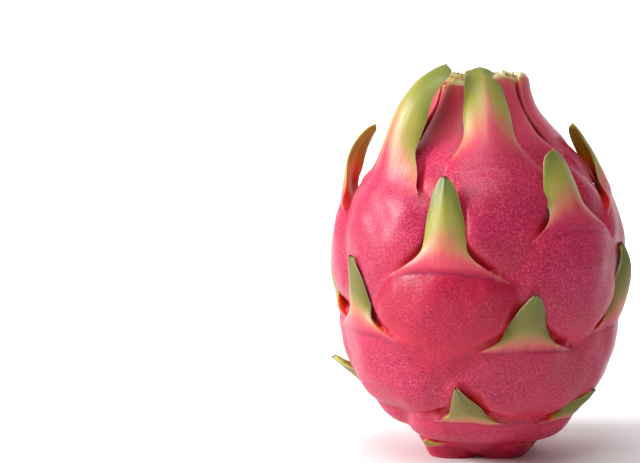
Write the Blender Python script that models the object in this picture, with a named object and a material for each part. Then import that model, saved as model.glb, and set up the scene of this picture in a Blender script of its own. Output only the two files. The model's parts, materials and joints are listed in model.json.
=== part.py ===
"""A dragon fruit that stands on its stem end, with its scales pointing up to the flower end.

The fruit's axis is +Z, azimuth 0 faces -Y and azimuths run round towards +X. The origin is below
the middle of the fruit, on the surface that it stands on. Lengths are in metres once they are
multiplied by MM.
"""

import math
from dataclasses import dataclass

import bmesh
import bpy
import numpy as np

MM = 0.001

# The fruit's outline under its cushions, as radius and height: from the middle of the stem hollow
# over the foot, belly, shoulder and neck to the rim, and down to the middle of the flower scar.
OUTLINE = [
    (0.0, 3.6),
    (5.8, 3.5),
    (7.2, 0.9),
    (10.0, -0.6),
    (13.6, 0.8),
    (18.9, 5.2),
    (25.0, 11.7),
    (31.0, 20.0),
    (35.4, 31.0),
    (38.9, 44.5),
    (39.2, 57.0),
    (37.9, 67.5),
    (33.8, 77.6),
    (26.4, 86.4),
    (19.0, 93.6),
    (14.4, 99.4),
    (12.4, 104.6),
    (11.6, 108.3),
    (10.2, 108.8),
    (8.4, 105.6),
    (6.2, 102.7),
    (0.0, 102.0),
]
OUTLINE_SAMPLES = 1200
RIM_HEIGHT = 108.8 * MM

# The skin is raised into one cushion under each scale, and sinks into a pocket behind it. It is
# plain again at the rim and under the foot.
BODY_COLUMNS = 42
BODY_ROWS = 32
FINE_REACH = 9.0 * MM
CUSHION_SOFTNESS = 0.25 * MM
CUSHION_OVER_WING = 1.18
VALLEY_FLOOR = -1.2 * MM
AXIL_SLOPE = 4.5 * MM
AXIL_DEPTH = 1.6
POCKET_DEPTH = 1.9 * MM
POCKET_START = 0.8 * MM
POCKET_EDGE = 2.2 * MM
PLAIN_AT_RIM = 7.0 * MM
PLAIN_AT_FOOT = 4.0 * MM

# What a scale measures at the ground, what it gains on the way up, and the height, as a share of
# the rim's, at which it has gained it all.
LENGTH = (9.0 * MM, 36.0 * MM)
DROP = (1.0 * MM, 3.5 * MM, 0.45)
CUSHION = (8.0 * MM, 27.0 * MM, 0.60)
BULGE = (1.6 * MM, 1.6 * MM, 0.25)
HALF_WIDTH = (4.85 * MM, 1.35 * MM, 0.50)
TAPER = (7.2 * MM, 4.8 * MM, 0.40)

# The crown's long scales run on from their cushions, with no step, and lean less.
CROWN_START = 0.53
CROWN_SPAN = 0.18
CROWN_DROP = 5.0 * MM
CROWN_CUSHION = 0.75
CROWN_BULGE = 0.70
CROWN_WIDTH = 0.75 * MM
CROWN_TAPER = 0.70
CROWN_LEAN = 0.78
CREST = (-0.38, -0.12)
LIP = (0.55 * MM, 0.15 * MM)

# The scales near the ground stand off the fruit, and the ones above them bend in.
LOW_END = 0.30
LOW_SPAN = 0.15
LOW_OUT = 7.0
INWARD_BEND = 6.0
UPPER_BEND = (12.0, 0.40, 0.35)

# The free part of a scale, a leaf with a flared foot.
BLADE_GRID = (6, 4)
WING = 17.0 * MM
WING_ARC = math.radians(62.0)
TIP_HALF_WIDTH = 0.5 * MM
FLARE_START = 0.25
FLARE_POWER = 2.6
EDGE_THICKNESS = 0.7 * MM
ROOT_THICKNESS = 2.6 * MM
TIP_THICKNESS = 1.3 * MM
ROOT_OVERLAP = 2.0 * MM
ROOT_SINK = 0.75 * MM
ROOT_DEPTH = 2.4 * MM
CROSS_RADIUS = 10.0 * MM
WELD = 0.001 * MM

# The lobes round the foot, and the inner scales that lie pressed to the neck.
FOOT_HEIGHT = 5.0
FOOT_GRID = (4, 3)
FOOT_CUSHION = 13.0 * MM
FOOT_BULGE = 2.6 * MM
PRESSED_GRID = (4, 4)
PRESSED_BELOW_RIM = 3.2 * MM
PRESSED_WING = 11.5 * MM
PRESSED_DROP = 9.0 * MM
PRESSED_CUSHION = 11.0 * MM
PRESSED_BULGE = 1.0 * MM
PRESSED_LIP = 0.7 * MM

# The dry remains of the flower in the scar: a ragged cup, and the stub of the style in it.
REMNANT_COLUMNS = 36
REMNANT = [
    (0.0, 102.4),
    (5.3, 103.1),
    (7.4, 105.8),
    (8.7, 109.2),
    (8.8, 110.2),
    (8.0, 110.3),
    (7.8, 108.2),
    (6.1, 105.0),
    (3.4, 104.0),
    (2.0, 105.8),
    (1.3, 107.6),
    (0.0, 107.9),
]
REMNANT_RAGGED = 0.9 * MM

# The woody end of the stem in the hollow of the foot, cut just clear of the ground.
STEM_COLUMNS = 24
STEM = [
    (0.0, 1.1),
    (2.2, 0.9),
    (4.4, 0.45),
    (5.2, 0.8),
    (5.4, 1.7),
    (5.0, 3.0),
    (0.0, 3.25),
]


@dataclass(frozen=True)
class Scale:
    """One scale: where it leaves the fruit, and how it departs from the rule for its height.

    azimuth and height (mm) give the middle of its root. longer, wider and fuller scale its length,
    its width and its cushion. lean tilts it sideways, out stands it further off, and hook bends
    its tip inwards (degrees).
    """

    azimuth: float
    height: float
    longer: float = 1.0
    wider: float = 1.0
    fuller: float = 1.0
    lean: float = 0.0
    out: float = 0.0
    hook: float = 0.0
    pressed: bool = False


SCALES = [
    # small lobes round the foot
    Scale(-34, 3.6, longer=0.62, wider=0.56, out=-8),
    Scale(38, 3.4, longer=0.62, wider=0.50, out=-8),
    Scale(108, 3.8, longer=0.62, wider=0.52, out=-8),
    Scale(180, 3.6, longer=0.62, wider=0.52, out=-8),
    Scale(253, 3.8, longer=0.62, wider=0.52, out=-8),
    # the lowest full row
    Scale(-6, 14.2, longer=1.20, wider=0.76, lean=-12),
    Scale(66, 13.4, longer=0.86, wider=0.86, out=2),
    Scale(140, 15.5, wider=0.84),
    Scale(205, 13.0, wider=0.80, lean=6),
    Scale(264, 16.5, longer=0.84, wider=0.80, out=5),
    # the row under the belly
    Scale(22, 38.0, longer=0.67, lean=3),
    Scale(-56, 38.5, longer=0.96, wider=1.14, lean=-3),
    Scale(78, 45.5, longer=0.76, fuller=1.4, out=1, hook=12),
    Scale(124, 33.0, longer=0.92, lean=-4),
    Scale(176, 40.0, longer=0.93, out=-3, hook=8),
    Scale(221, 34.0, longer=0.90, lean=4),
    Scale(259, 44.0, longer=0.82, fuller=1.4, out=2),
    # the row above the belly
    Scale(-14, 60.0, longer=0.79),
    Scale(42, 67.0, longer=0.74, lean=-11),
    Scale(92, 68.0, longer=0.96, lean=-3, out=-1, hook=14),
    Scale(142, 61.0, longer=0.88, out=2),
    Scale(194, 66.0, longer=0.92, out=4, lean=-4),
    Scale(231, 59.0, longer=0.88),
    Scale(264, 71.0, longer=0.71, fuller=1.9, out=9, hook=20),
    # the long scales that arch over the shoulder
    Scale(-53, 79.0, longer=1.06, out=15, hook=36),
    Scale(7, 82.5, longer=0.99, wider=0.94, lean=-3, out=11.5, hook=34),
    Scale(122, 83.0, longer=0.88, out=3, hook=8),
    Scale(168, 80.0, longer=1.04, out=9, hook=14),
    Scale(214, 84.0, longer=0.84, out=12, hook=8),
    # the inner scales, pressed to the neck
    Scale(-27, 86.0, pressed=True),
    Scale(42, 86.5, pressed=True),
    Scale(80, 89.5, pressed=True),
    Scale(142, 88.0, pressed=True),
    Scale(190, 89.0, pressed=True),
    Scale(246, 88.0, pressed=True),
    Scale(284, 89.5, pressed=True),
]


def smooth_step(x):
    """0 below 0, 1 above 1, and an S-shaped rise between them."""
    x = np.clip(x, 0.0, 1.0)
    return x * x * (3.0 - 2.0 * x)


def grown(size, share):
    """A size at a share of the rim's height: what it is at the ground, and what it has gained."""
    at_ground, gain, full_share = size
    return at_ground + gain * float(smooth_step(share / full_share))


def mixed(first, second, share):
    """first where share is 0, second where it is 1, and a straight mix between them."""
    return first + (second - first) * share


class Outline:
    """The fruit's outline as radius, height and outward normal against the distance along it."""

    def __init__(self, points, samples):
        points = np.array(points) * MM
        spans = np.linalg.norm(np.diff(points, axis=0), axis=1) ** 0.5
        knots = np.append(0.0, np.cumsum(spans))
        slopes = np.gradient(points, knots, axis=0)
        fine = np.linspace(0.0, knots[-1], samples)
        span = np.clip(np.searchsorted(knots, fine, side="right") - 1, 0, len(knots) - 2)
        width = (knots[span + 1] - knots[span])[:, None]
        t = (fine[:, None] - knots[span][:, None]) / width
        curve = (
            points[span] * (1 + 2 * t) * (1 - t) ** 2
            + slopes[span] * width * t * (1 - t) ** 2
            + points[span + 1] * t**2 * (3 - 2 * t)
            + slopes[span + 1] * width * t**2 * (t - 1)
        )
        steps = np.linalg.norm(np.diff(curve, axis=0), axis=1)
        self.along = np.append(0.0, np.cumsum(steps))
        self.radii = np.maximum(curve[:, 0], 0.0)
        self.heights = curve[:, 1]
        self.tangent = np.gradient(curve, self.along, axis=0)
        self.length = float(self.along[-1])
        self.foot = int(np.argmin(self.heights))
        self.rim = int(np.argmax(self.heights))

    def at(self, distance):
        """Radius, height and how far the surface leans inwards from upright, in radians."""
        radius = np.interp(distance, self.along, self.radii)
        height = np.interp(distance, self.along, self.heights)
        outward = np.interp(distance, self.along, self.tangent[:, 0])
        upward = np.interp(distance, self.along, self.tangent[:, 1])
        return radius, height, np.arctan2(-outward, upward)

    def row_distances(self, rows):
        """Distances of the mesh's rows, set closer round the foot and at the rim."""
        from_foot = (self.along - self.along[self.foot]) / FINE_REACH
        from_rim = (self.along - self.along[self.rim]) / FINE_REACH
        density = 1.0 + 1.4 * np.exp(-(from_foot**2)) + 0.8 * np.exp(-(from_rim**2))
        total = np.cumsum(density)
        return np.interp(np.linspace(0.0, total[-1], rows + 2)[1:-1], total, self.along)

    def distance_at_height(self, height):
        """The distance at which the outer side, from the foot to the rim, has this height."""
        side = slice(self.foot, self.rim + 1)
        return float(np.interp(height, self.heights[side], self.along[side]))


class Form:
    """One scale's sizes, worked out from its place on the fruit, and its surfaces."""

    def __init__(self, scale, outline):
        self.outline = outline
        self.scale = scale
        self.azimuth = math.radians(scale.azimuth)
        self.root = outline.distance_at_height(scale.height * MM)
        radius, _, lean = (float(value) for value in outline.at(self.root))
        share = scale.height * MM / RIM_HEIGHT
        crown = float(smooth_step((share - CROWN_START) / CROWN_SPAN))
        low = float(smooth_step((LOW_END - share) / LOW_SPAN))
        self.length = (LENGTH[0] + LENGTH[1] * share) * scale.longer
        self.wing = min(WING * scale.wider, radius * WING_ARC)
        self.drop = grown(DROP, share) + CROWN_DROP * crown
        self.cushion = grown(CUSHION, share) * mixed(1.0, CROWN_CUSHION, crown)
        self.bulge = grown(BULGE, share) * mixed(1.0, CROWN_BULGE, crown) * scale.fuller
        self.crest = mixed(*CREST, crown)
        self.half_width = grown(HALF_WIDTH, share) + CROWN_WIDTH * crown
        self.taper = grown(TAPER, share) * mixed(1.0, CROWN_TAPER, crown)
        self.lip = mixed(*LIP, crown)
        self.start = lean * mixed(1.0, CROWN_LEAN, crown) - math.radians(scale.out + LOW_OUT * low)
        bend, bend_from, bend_span = UPPER_BEND
        bend = INWARD_BEND * (1.0 - low) + bend * float(smooth_step((share - bend_from) / bend_span))
        self.turn = math.radians(bend)
        self.grid = BLADE_GRID
        if scale.height < FOOT_HEIGHT:
            self.grid = FOOT_GRID
            self.cushion = FOOT_CUSHION
            self.bulge = FOOT_BULGE
        if scale.pressed:
            self.grid = PRESSED_GRID
            self.length = float(outline.along[outline.rim]) - self.root - PRESSED_BELOW_RIM
            self.wing = PRESSED_WING * scale.wider
            self.drop = PRESSED_DROP
            self.cushion = PRESSED_CUSHION
            self.bulge = PRESSED_BULGE
            self.lip = PRESSED_LIP

    def cushion_height(self, side, above):
        """Height of the cushion under the scale: a dome below the root line, and a recess above it.

        side is the distance round the fruit from the scale's middle, and above is the distance
        above the root line.
        """
        middle = self.crest * self.cushion
        reach = self.cushion + middle
        below = np.minimum(above, 0.0)
        across = side / (CUSHION_OVER_WING * self.wing)
        dome = 1.0 - across**2 - ((below - middle) / reach) ** 2
        recess = smooth_step(np.maximum(above, 0.0) / AXIL_SLOPE)
        return self.bulge * (dome * (1.0 - recess) - AXIL_DEPTH * recess)

    def pocket_depth(self, side, above):
        """Depth of the pocket that the skin forms behind the scale, fading out towards its tip."""
        width = self.half_width_at(np.clip(self.length + self.drop - above, 0.0, None))
        across = 1.0 - smooth_step((np.abs(side) / width - 0.70) / 0.45)
        along = 1.0 - smooth_step((above / self.length - 0.50) / 0.40)
        return POCKET_DEPTH * smooth_step((above - POCKET_START) / POCKET_EDGE) * across * along

    def local(self, azimuth, distance):
        """A place on the outline as distances sideways from the scale and above its root line."""
        turn = (azimuth - self.azimuth + math.pi) % (2 * math.pi) - math.pi
        side = turn * self.outline.at(distance)[0]
        return side, distance - self.root + self.drop * (side / self.wing) ** 2

    def half_width_at(self, from_tip):
        """Half the scale's width at a distance from its tip: a round-tipped leaf, then the flare."""
        reach = self.length + self.drop
        near = np.clip(1.0 - from_tip / self.taper, 0.0, 1.0)
        leaf = TIP_HALF_WIDTH + (self.half_width - TIP_HALF_WIDTH) * (1.0 - near**2) ** 0.75
        if self.scale.pressed:
            leaf = self.half_width * (0.66 + 0.3 * smooth_step(from_tip / self.taper))
        flare = np.clip((from_tip / reach - FLARE_START) / (1.0 - FLARE_START), 0.0, 1.0)
        return leaf + (self.wing - leaf) * flare**FLARE_POWER

    def middle_line(self, rise):
        """Radius, height and inward lean of the scale's middle line, at a distance above its root.

        Up to the root it lies on the outline. Above it the line is an arc, which a hooked scale
        tightens towards its tip. A pressed scale follows the outline all the way.
        """
        radius, height, lean = self.outline.at(self.root + rise)
        if self.scale.pressed:
            return radius, height, lean
        steps = np.linspace(0.0, 1.0, 80)
        angle = self.start + self.turn * steps + math.radians(self.scale.hook) * steps**3
        middle = 0.5 * (angle[1:] + angle[:-1])
        step = self.length / (len(steps) - 1)
        inward = np.append(0.0, np.cumsum(np.sin(middle))) * step
        upward = np.append(0.0, np.cumsum(np.cos(middle))) * step
        root_radius, root_height, _ = self.outline.at(self.root)
        share = rise / self.length
        free = rise > 0.0
        return (
            np.where(free, root_radius - np.interp(share, steps, inward), radius),
            np.where(free, root_height + np.interp(share, steps, upward), height),
            np.where(free, np.interp(share, steps, angle), lean),
        )


def relief(forms, outline, azimuth, distance, pockets=True):
    """Height of the skin over the plain outline: the highest cushion, less the deepest pocket."""
    total = np.full(np.shape(distance), math.exp(VALLEY_FLOOR / CUSHION_SOFTNESS))
    pocket = np.zeros(np.shape(distance))
    for form in forms:
        side, above = form.local(azimuth, distance)
        total = total + np.exp(form.cushion_height(side, above) / CUSHION_SOFTNESS)
        if pockets:
            pocket = np.maximum(pocket, form.pocket_depth(side, above))
    raised = CUSHION_SOFTNESS * np.log(total) - pocket
    below_rim = smooth_step((outline.along[outline.rim] - distance) / PLAIN_AT_RIM)
    past_foot = (distance - outline.along[outline.foot]) / PLAIN_AT_FOOT
    above_foot = smooth_step(past_foot + 0.9)
    return raised * below_rim * above_foot


def grid_faces(columns, rows, first=0, closed=False):
    """Quads of a grid of points, whose rows hold one more point than columns unless it is closed."""
    across = columns if closed else columns + 1
    faces = []
    for row in range(rows):
        for column in range(columns):
            a = first + row * across + column
            b = first + row * across + (column + 1) % across
            faces.append((a, b, b + across, a + across))
    return faces


def body_mesh(forms, outline):
    """The fruit's body: the outline turned round its axis, with the cushions raised from it."""
    rows = outline.row_distances(BODY_ROWS)
    columns = np.arange(BODY_COLUMNS) * (2 * math.pi / BODY_COLUMNS)
    distance, azimuth = np.meshgrid(rows, columns, indexing="ij")
    radius, height, lean = outline.at(distance)
    raised = relief(forms, outline, azimuth, distance)
    reach = radius + raised * np.cos(lean)
    level = height + raised * np.sin(lean)
    points = np.stack([reach * np.sin(azimuth), -reach * np.cos(azimuth), level], axis=-1)
    points = points.reshape(-1, 3)
    faces = grid_faces(BODY_COLUMNS, BODY_ROWS - 1, closed=True)
    under, over = len(points), len(points) + 1
    last = len(points) - BODY_COLUMNS
    for column in range(BODY_COLUMNS):
        following = (column + 1) % BODY_COLUMNS
        faces.append((under, following, column))
        faces.append((over, last + column, last + following))
    poles = [[0.0, 0.0, outline.heights[0]], [0.0, 0.0, outline.heights[-1]]]
    return np.vstack([points, poles]), faces


def blade_points(form, forms, outline, columns, rows):
    """Outer and inner points of a scale's free part, in rows up it and columns across it.

    Each row is bowed, with its ends lower than its middle, so that the lowest one is the root
    line. A row on the fruit is as round as the fruit, and one near the tip is rolled tighter.
    """
    even = np.linspace(0.0, 1.0, rows + 1)
    up_share = 0.5 * (even**1.25 + np.sin(0.5 * math.pi * even))
    up_share, u = np.meshgrid(up_share, np.linspace(-1.0, 1.0, columns + 1), indexing="ij")
    edge = (form.length + form.drop + ROOT_OVERLAP) * (1.0 - up_share)
    middle = (form.length + ROOT_OVERLAP) * (1.0 - up_share)
    rise = form.length - middle - (edge - middle) * u**2
    side = u * form.half_width_at(edge)
    radius, height, lean = form.middle_line(rise)
    loose = smooth_step(np.maximum(rise, 0.0) / (0.4 * form.length))
    roll = radius
    if not form.scale.pressed:
        roll = radius * (1.0 - loose) + CROSS_RADIUS * loose
    psi = side / np.maximum(roll, 6.0 * MM)
    sag = roll * (1.0 - np.cos(psi))
    tilt = math.sin(math.radians(form.scale.lean)) * np.maximum(rise, 0.0)

    on_line = form.root + np.minimum(rise, -form.drop * (side / form.wing) ** 2)
    line_azimuth = form.azimuth + side / outline.at(on_line)[0]
    skin = relief(forms, outline, line_azimuth, on_line, pockets=False)
    own = form.cushion_height(side, np.zeros_like(side))
    raised = skin * (1.0 - loose) + own * loose
    lip = -ROOT_SINK + (ROOT_SINK + form.lip) * smooth_step(up_share / 0.16)
    outer_lift = raised + lip
    core = ROOT_THICKNESS + (TIP_THICKNESS - ROOT_THICKNESS) * up_share
    thick = EDGE_THICKNESS + (core - EDGE_THICKNESS) * (1.0 - np.abs(u) ** 2.2)
    buried = ROOT_DEPTH * (1.0 - smooth_step(up_share / 0.42))
    if form.scale.pressed:
        buried = ROOT_DEPTH

    def placed(lift, narrower):
        out = lift * np.cos(psi)
        along = radius - sag * (1.0 - loose + loose * np.cos(lean)) + out * np.cos(lean)
        level = height - sag * loose * np.sin(lean) + out * np.sin(lean)
        across = (roll * np.sin(psi) + lift * np.sin(psi)) * narrower + tilt
        turn_cos, turn_sin = math.cos(form.azimuth), math.sin(form.azimuth)
        return np.stack(
            [along * turn_sin + across * turn_cos, -along * turn_cos + across * turn_sin, level],
            axis=-1,
        )

    return placed(outer_lift, 1.0), placed(outer_lift - thick - buried, 0.97)


def blade_mesh(form, forms, outline, columns, rows):
    """The scale's free part as one closed shell, with its root sunk into the fruit."""
    outer, inner = blade_points(form, forms, outline, columns, rows)
    points = np.vstack([outer.reshape(-1, 3), inner.reshape(-1, 3)])
    across = columns + 1
    count = across * (rows + 1)
    faces = grid_faces(columns, rows)
    faces += [face[::-1] for face in grid_faces(columns, rows, first=count)]
    round_the_edge = list(range(across))
    round_the_edge += [row * across + columns for row in range(1, rows + 1)]
    round_the_edge += [rows * across + column for column in range(columns - 1, -1, -1)]
    round_the_edge += [row * across for row in range(rows - 1, 0, -1)]
    for a, b in zip(round_the_edge, round_the_edge[1:] + round_the_edge[:1]):
        faces.append((b, a, a + count, b + count))
    return points, faces


def new_object(name, points, faces, finish):
    """A mesh object of one finish, made of triangles that point out."""
    mesh = bpy.data.meshes.new(name)
    mesh.from_pydata([tuple(float(x) for x in point) for point in points], [], faces)
    work = bmesh.new()
    work.from_mesh(mesh)
    bmesh.ops.triangulate(work, faces=work.faces)
    bmesh.ops.recalc_face_normals(work, faces=work.faces)
    work.to_mesh(mesh)
    work.free()
    mesh.shade_smooth()
    obj = bpy.data.objects.new(name, mesh)
    bpy.context.scene.collection.objects.link(obj)
    mesh.materials.append(finish)
    return obj


def material(name, colour, roughness):
    """A plain finish: base colour, roughness and no metal."""
    made = bpy.data.materials.new(name)
    made.use_nodes = True
    shader = made.node_tree.nodes["Principled BSDF"]
    shader.inputs["Base Color"].default_value = (*colour, 1.0)
    shader.inputs["Roughness"].default_value = roughness
    shader.inputs["Metallic"].default_value = 0.0
    return made


def apply_boolean(obj, operation, other=None, collection=None):
    """Joins or cuts obj with another object or a collection's objects, and keeps the result."""
    modifier = obj.modifiers.new(operation.lower(), "BOOLEAN")
    modifier.operation = operation
    modifier.solver = "MANIFOLD"
    if collection:
        modifier.operand_type = "COLLECTION"
        modifier.collection = collection
    else:
        modifier.object = other
    bpy.context.view_layer.objects.active = obj
    bpy.ops.object.modifier_apply(modifier=modifier.name)


def keep_main_body(obj):
    """Fills hollows that the joining sealed and drops loose scraps: the largest shell stays."""
    work = bmesh.new()
    work.from_mesh(obj.data)
    bmesh.ops.remove_doubles(work, verts=work.verts, dist=WELD)
    waiting = set(work.faces)
    shells = []
    while waiting:
        reached = [waiting.pop()]
        for face in reached:
            for other in [other for edge in face.edges for other in edge.link_faces]:
                if other in waiting:
                    waiting.remove(other)
                    reached.append(other)
        shells.append(reached)
    shells.sort(key=len)
    for shell in shells[:-1]:
        bmesh.ops.delete(work, geom=shell, context="FACES")
    work.to_mesh(obj.data)
    work.free()


def build_fruit(forms, outline):
    """The skin, its cushions and all its scales: one grown body, standing on a small flat foot."""
    skin = material("dragon_fruit_skin", (0.62, 0.045, 0.13), 0.42)
    fruit = new_object("fruit", *body_mesh(forms, outline), skin)
    blades = bpy.data.collections.new("blades")
    bpy.context.scene.collection.children.link(blades)
    for number, form in enumerate(forms):
        shell = blade_mesh(form, forms, outline, *form.grid)
        blade = new_object(f"blade_{number}", *shell, skin)
        bpy.context.scene.collection.objects.unlink(blade)
        blades.objects.link(blade)
    apply_boolean(fruit, "UNION", collection=blades)
    for blade in list(blades.objects):
        bpy.data.objects.remove(blade)
    bpy.data.collections.remove(blades)
    bpy.ops.mesh.primitive_cube_add(size=0.2, location=(0.0, 0.0, -0.1))
    cutter = bpy.context.object
    cutter.data.materials.append(skin)
    apply_boolean(fruit, "DIFFERENCE", other=cutter)
    bpy.data.objects.remove(cutter)
    keep_main_body(fruit)
    return fruit


def turned_points(profile, columns, change):
    """Points and faces of a profile turned round the axis, from one pole to the other.

    change gives, for each point's azimuth and place in the profile from 0 to 1, how far the point
    moves out and up.
    """
    rings = np.array(profile[1:-1]) * MM
    place = np.linspace(0.0, 1.0, len(profile))[1:-1]
    azimuth, place = np.meshgrid(np.arange(columns) * (2 * math.pi / columns), place)
    outward, upward = change(azimuth, place)
    reach = rings[:, :1] + outward
    level = rings[:, 1:] + upward
    points = np.stack([reach * np.sin(azimuth), -reach * np.cos(azimuth), level], axis=-1)
    points = points.reshape(-1, 3)
    faces = grid_faces(columns, len(rings) - 1, closed=True)
    start, end = len(points), len(points) + 1
    last = len(points) - columns
    for column in range(columns):
        following = (column + 1) % columns
        faces.append((start, following, column))
        faces.append((end, last + column, last + following))
    poles = [[0.0, 0.0, profile[0][1] * MM], [0.0, 0.0, profile[-1][1] * MM]]
    return np.vstack([points, poles]), faces


def build_flower_remnant():
    """The dry, ragged cup that the flower leaves in its scar, with the style's stub."""

    def ragged(azimuth, place):
        teeth = 0.5 * np.sin(9 * azimuth + 0.4) + 0.3 * np.sin(14 * azimuth + 2.0)
        teeth = teeth + 0.2 * np.sin(5 * azimuth)
        at_edge = np.exp(-(((place - 0.41) / 0.09) ** 2))
        ripple = 0.25 * MM * np.sin(7 * azimuth + 1.0) * at_edge
        return ripple, REMNANT_RAGGED * teeth * at_edge

    finish = material("dry_flower_remains", (0.42, 0.30, 0.13), 0.85)
    return new_object("flower_remnant", *turned_points(REMNANT, REMNANT_COLUMNS, ragged), finish)


def build_cut_stem():
    """The woody end of the stem, slightly out of round, in the hollow of the foot."""

    def out_of_round(azimuth, place):
        waist = np.sin(math.pi * np.clip(place * 1.2, 0.0, 1.0))
        return 0.22 * MM * np.cos(3 * azimuth + 0.5) * waist, np.zeros_like(azimuth)

    finish = material("cut_stem_wood", (0.26, 0.19, 0.10), 0.80)
    return new_object("cut_stem", *turned_points(STEM, STEM_COLUMNS, out_of_round), finish)


def main():
    for obj in list(bpy.data.objects):
        bpy.data.objects.remove(obj)
    outline = Outline(OUTLINE, OUTLINE_SAMPLES)
    forms = [Form(scale, outline) for scale in SCALES]
    build_fruit(forms, outline)
    build_flower_remnant()
    build_cut_stem()


main()
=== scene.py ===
"""A whole dragon fruit standing on its stem end, finished for its photograph.

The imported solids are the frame. The skin with its scales, the dry remains of the flower and the
cut stem are worked out again here, much finer, from the same outline and the same kind of list of
scales, and take the solids' places. The fruit's axis is +Z, azimuth 0 faces -Y and azimuths run
round towards +X. Lengths are in metres once they are multiplied by MM.
"""

import json
import logging
import math
from abc import ABC, abstractmethod
from dataclasses import dataclass, field
from enum import Enum

import bmesh
import bpy
import numpy as np
from bpy.types import Camera, Collection, Light, Material, Mesh, Node, NodeSocket, NodeTree, Object
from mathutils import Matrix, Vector

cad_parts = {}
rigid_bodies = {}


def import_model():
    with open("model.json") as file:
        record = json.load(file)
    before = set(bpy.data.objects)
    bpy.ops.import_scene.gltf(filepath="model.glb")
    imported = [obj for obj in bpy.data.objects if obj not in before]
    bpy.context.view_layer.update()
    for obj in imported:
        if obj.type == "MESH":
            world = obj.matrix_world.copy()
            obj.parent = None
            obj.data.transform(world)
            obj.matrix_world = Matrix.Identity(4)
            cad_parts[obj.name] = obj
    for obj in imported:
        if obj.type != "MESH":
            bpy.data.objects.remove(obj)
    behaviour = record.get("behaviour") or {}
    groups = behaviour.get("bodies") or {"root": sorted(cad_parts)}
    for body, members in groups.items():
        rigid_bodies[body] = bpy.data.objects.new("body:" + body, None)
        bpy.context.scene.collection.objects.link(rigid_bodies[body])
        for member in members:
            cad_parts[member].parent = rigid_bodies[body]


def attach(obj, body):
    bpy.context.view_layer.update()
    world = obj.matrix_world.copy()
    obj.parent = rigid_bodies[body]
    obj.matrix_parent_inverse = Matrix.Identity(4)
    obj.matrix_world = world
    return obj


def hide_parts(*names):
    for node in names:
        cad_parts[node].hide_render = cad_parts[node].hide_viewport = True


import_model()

Array = np.ndarray
Stops = tuple[tuple[float, str], ...]

MM = 0.001
FULL_TURN = 2.0 * math.pi
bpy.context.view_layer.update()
MARKS = (
    "green", "margin", "tip", "inner", "crest", "pocket", "rise", "arch", "axil", "valley", "pressed",
    "grainy", "rosy", "dull", "deeper",
)
FAR_FROM_TIP = 99.0

log = logging.getLogger("dragon_fruit")


def smooth(x: Array | float) -> Array:
    """Give 0 below 0, 1 above 1, and an S-shaped rise between them: x squared times 3 - 2x."""
    x = np.clip(x, 0.0, 1.0)
    return x * x * (3.0 - 2.0 * x)


def fading(x: Array | float, start: float, reach: float) -> Array:
    """Give 1 up to a start, and an S-shaped fall to 0 over a reach past it."""
    return 1.0 - smooth((x - start) / reach)


def mixed(first: float, second: float, share: float | Array) -> float | Array:
    """Give first where share is 0, second where it is 1, and a straight mix between them."""
    return first + (second - first) * share


def bell(x: Array | float) -> Array:
    """Give 1 at 0 and a smooth fall to nothing on both sides of it: e to the power of -x squared."""
    return np.exp(-(np.asarray(x) ** 2))


@dataclass(frozen=True)
class Lumps:
    """Smooth unevenness in space: a sum of sines along seeded random directions, each over a length
    and from a phase of its own, which mostly stays between -1 and 1."""

    size: float
    seed: int
    waves: int = 16

    def at(self, points: Array) -> Array:
        """Give the unevenness at places with x, y and z along the last axis.

        Args:
            points: places, with x, y and z along the last axis.

        Returns:
            One number for each place.
        """
        draw = np.random.default_rng(self.seed)
        directions = draw.normal(size=(self.waves, 3))
        directions /= np.linalg.norm(directions, axis=1, keepdims=True)
        lengths = self.size * draw.uniform(1.4, 3.2, self.waves)
        phases = draw.uniform(0.0, FULL_TURN, self.waves)
        angles = points @ (directions * (FULL_TURN / lengths)[:, None]).T + phases
        return np.sin(angles).sum(axis=-1) / math.sqrt(self.waves)


@dataclass(frozen=True)
class Growth:
    """A size that grows from the ground up: its value there, what it gains, and the share of the
    rim's height at which it has gained it all."""

    at_ground: float
    gain: float
    full_share: float

    def at(self, share: float) -> float:
        """Give the size at a share of the rim's height."""
        return self.at_ground + self.gain * float(smooth(share / self.full_share))


class Tier(Enum):
    """The rows that the scales grow in, from the stem end to the flower end."""

    FOOT = "small lobes round the foot"
    LOWEST = "the lowest full row"
    UNDER_BELLY = "the row under the belly"
    ABOVE_BELLY = "the row above the belly"
    SHOULDER = "the long scales that arch over the shoulder"
    PRESSED = "the inner scales, pressed to the neck"


@dataclass(frozen=True)
class Scale:
    """One scale: where it leaves the fruit, and how it departs from the rule for its height.

    azimuth (degrees) and height (mm) give the middle of its root. longer, wider, broader and fuller
    scale its length, its root line, its leaf and its cushion. lean tilts it sideways, out stands it
    further off, hook bends its tip inwards and twist turns it about its length (degrees). waist moves
    the flare of its foot nearer to its root, and greener starts its green nearer to its root, as
    shares of its length. deeper is how crimson its cushion is, from 0 to 1.
    """

    azimuth: float
    height: float
    longer: float = 1.0
    wider: float = 1.0
    broader: float = 1.0
    fuller: float = 1.0
    lean: float = 0.0
    out: float = 0.0
    hook: float = 0.0
    twist: float = 0.0
    waist: float = 0.0
    greener: float = 0.0
    deeper: float = 0.0


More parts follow.
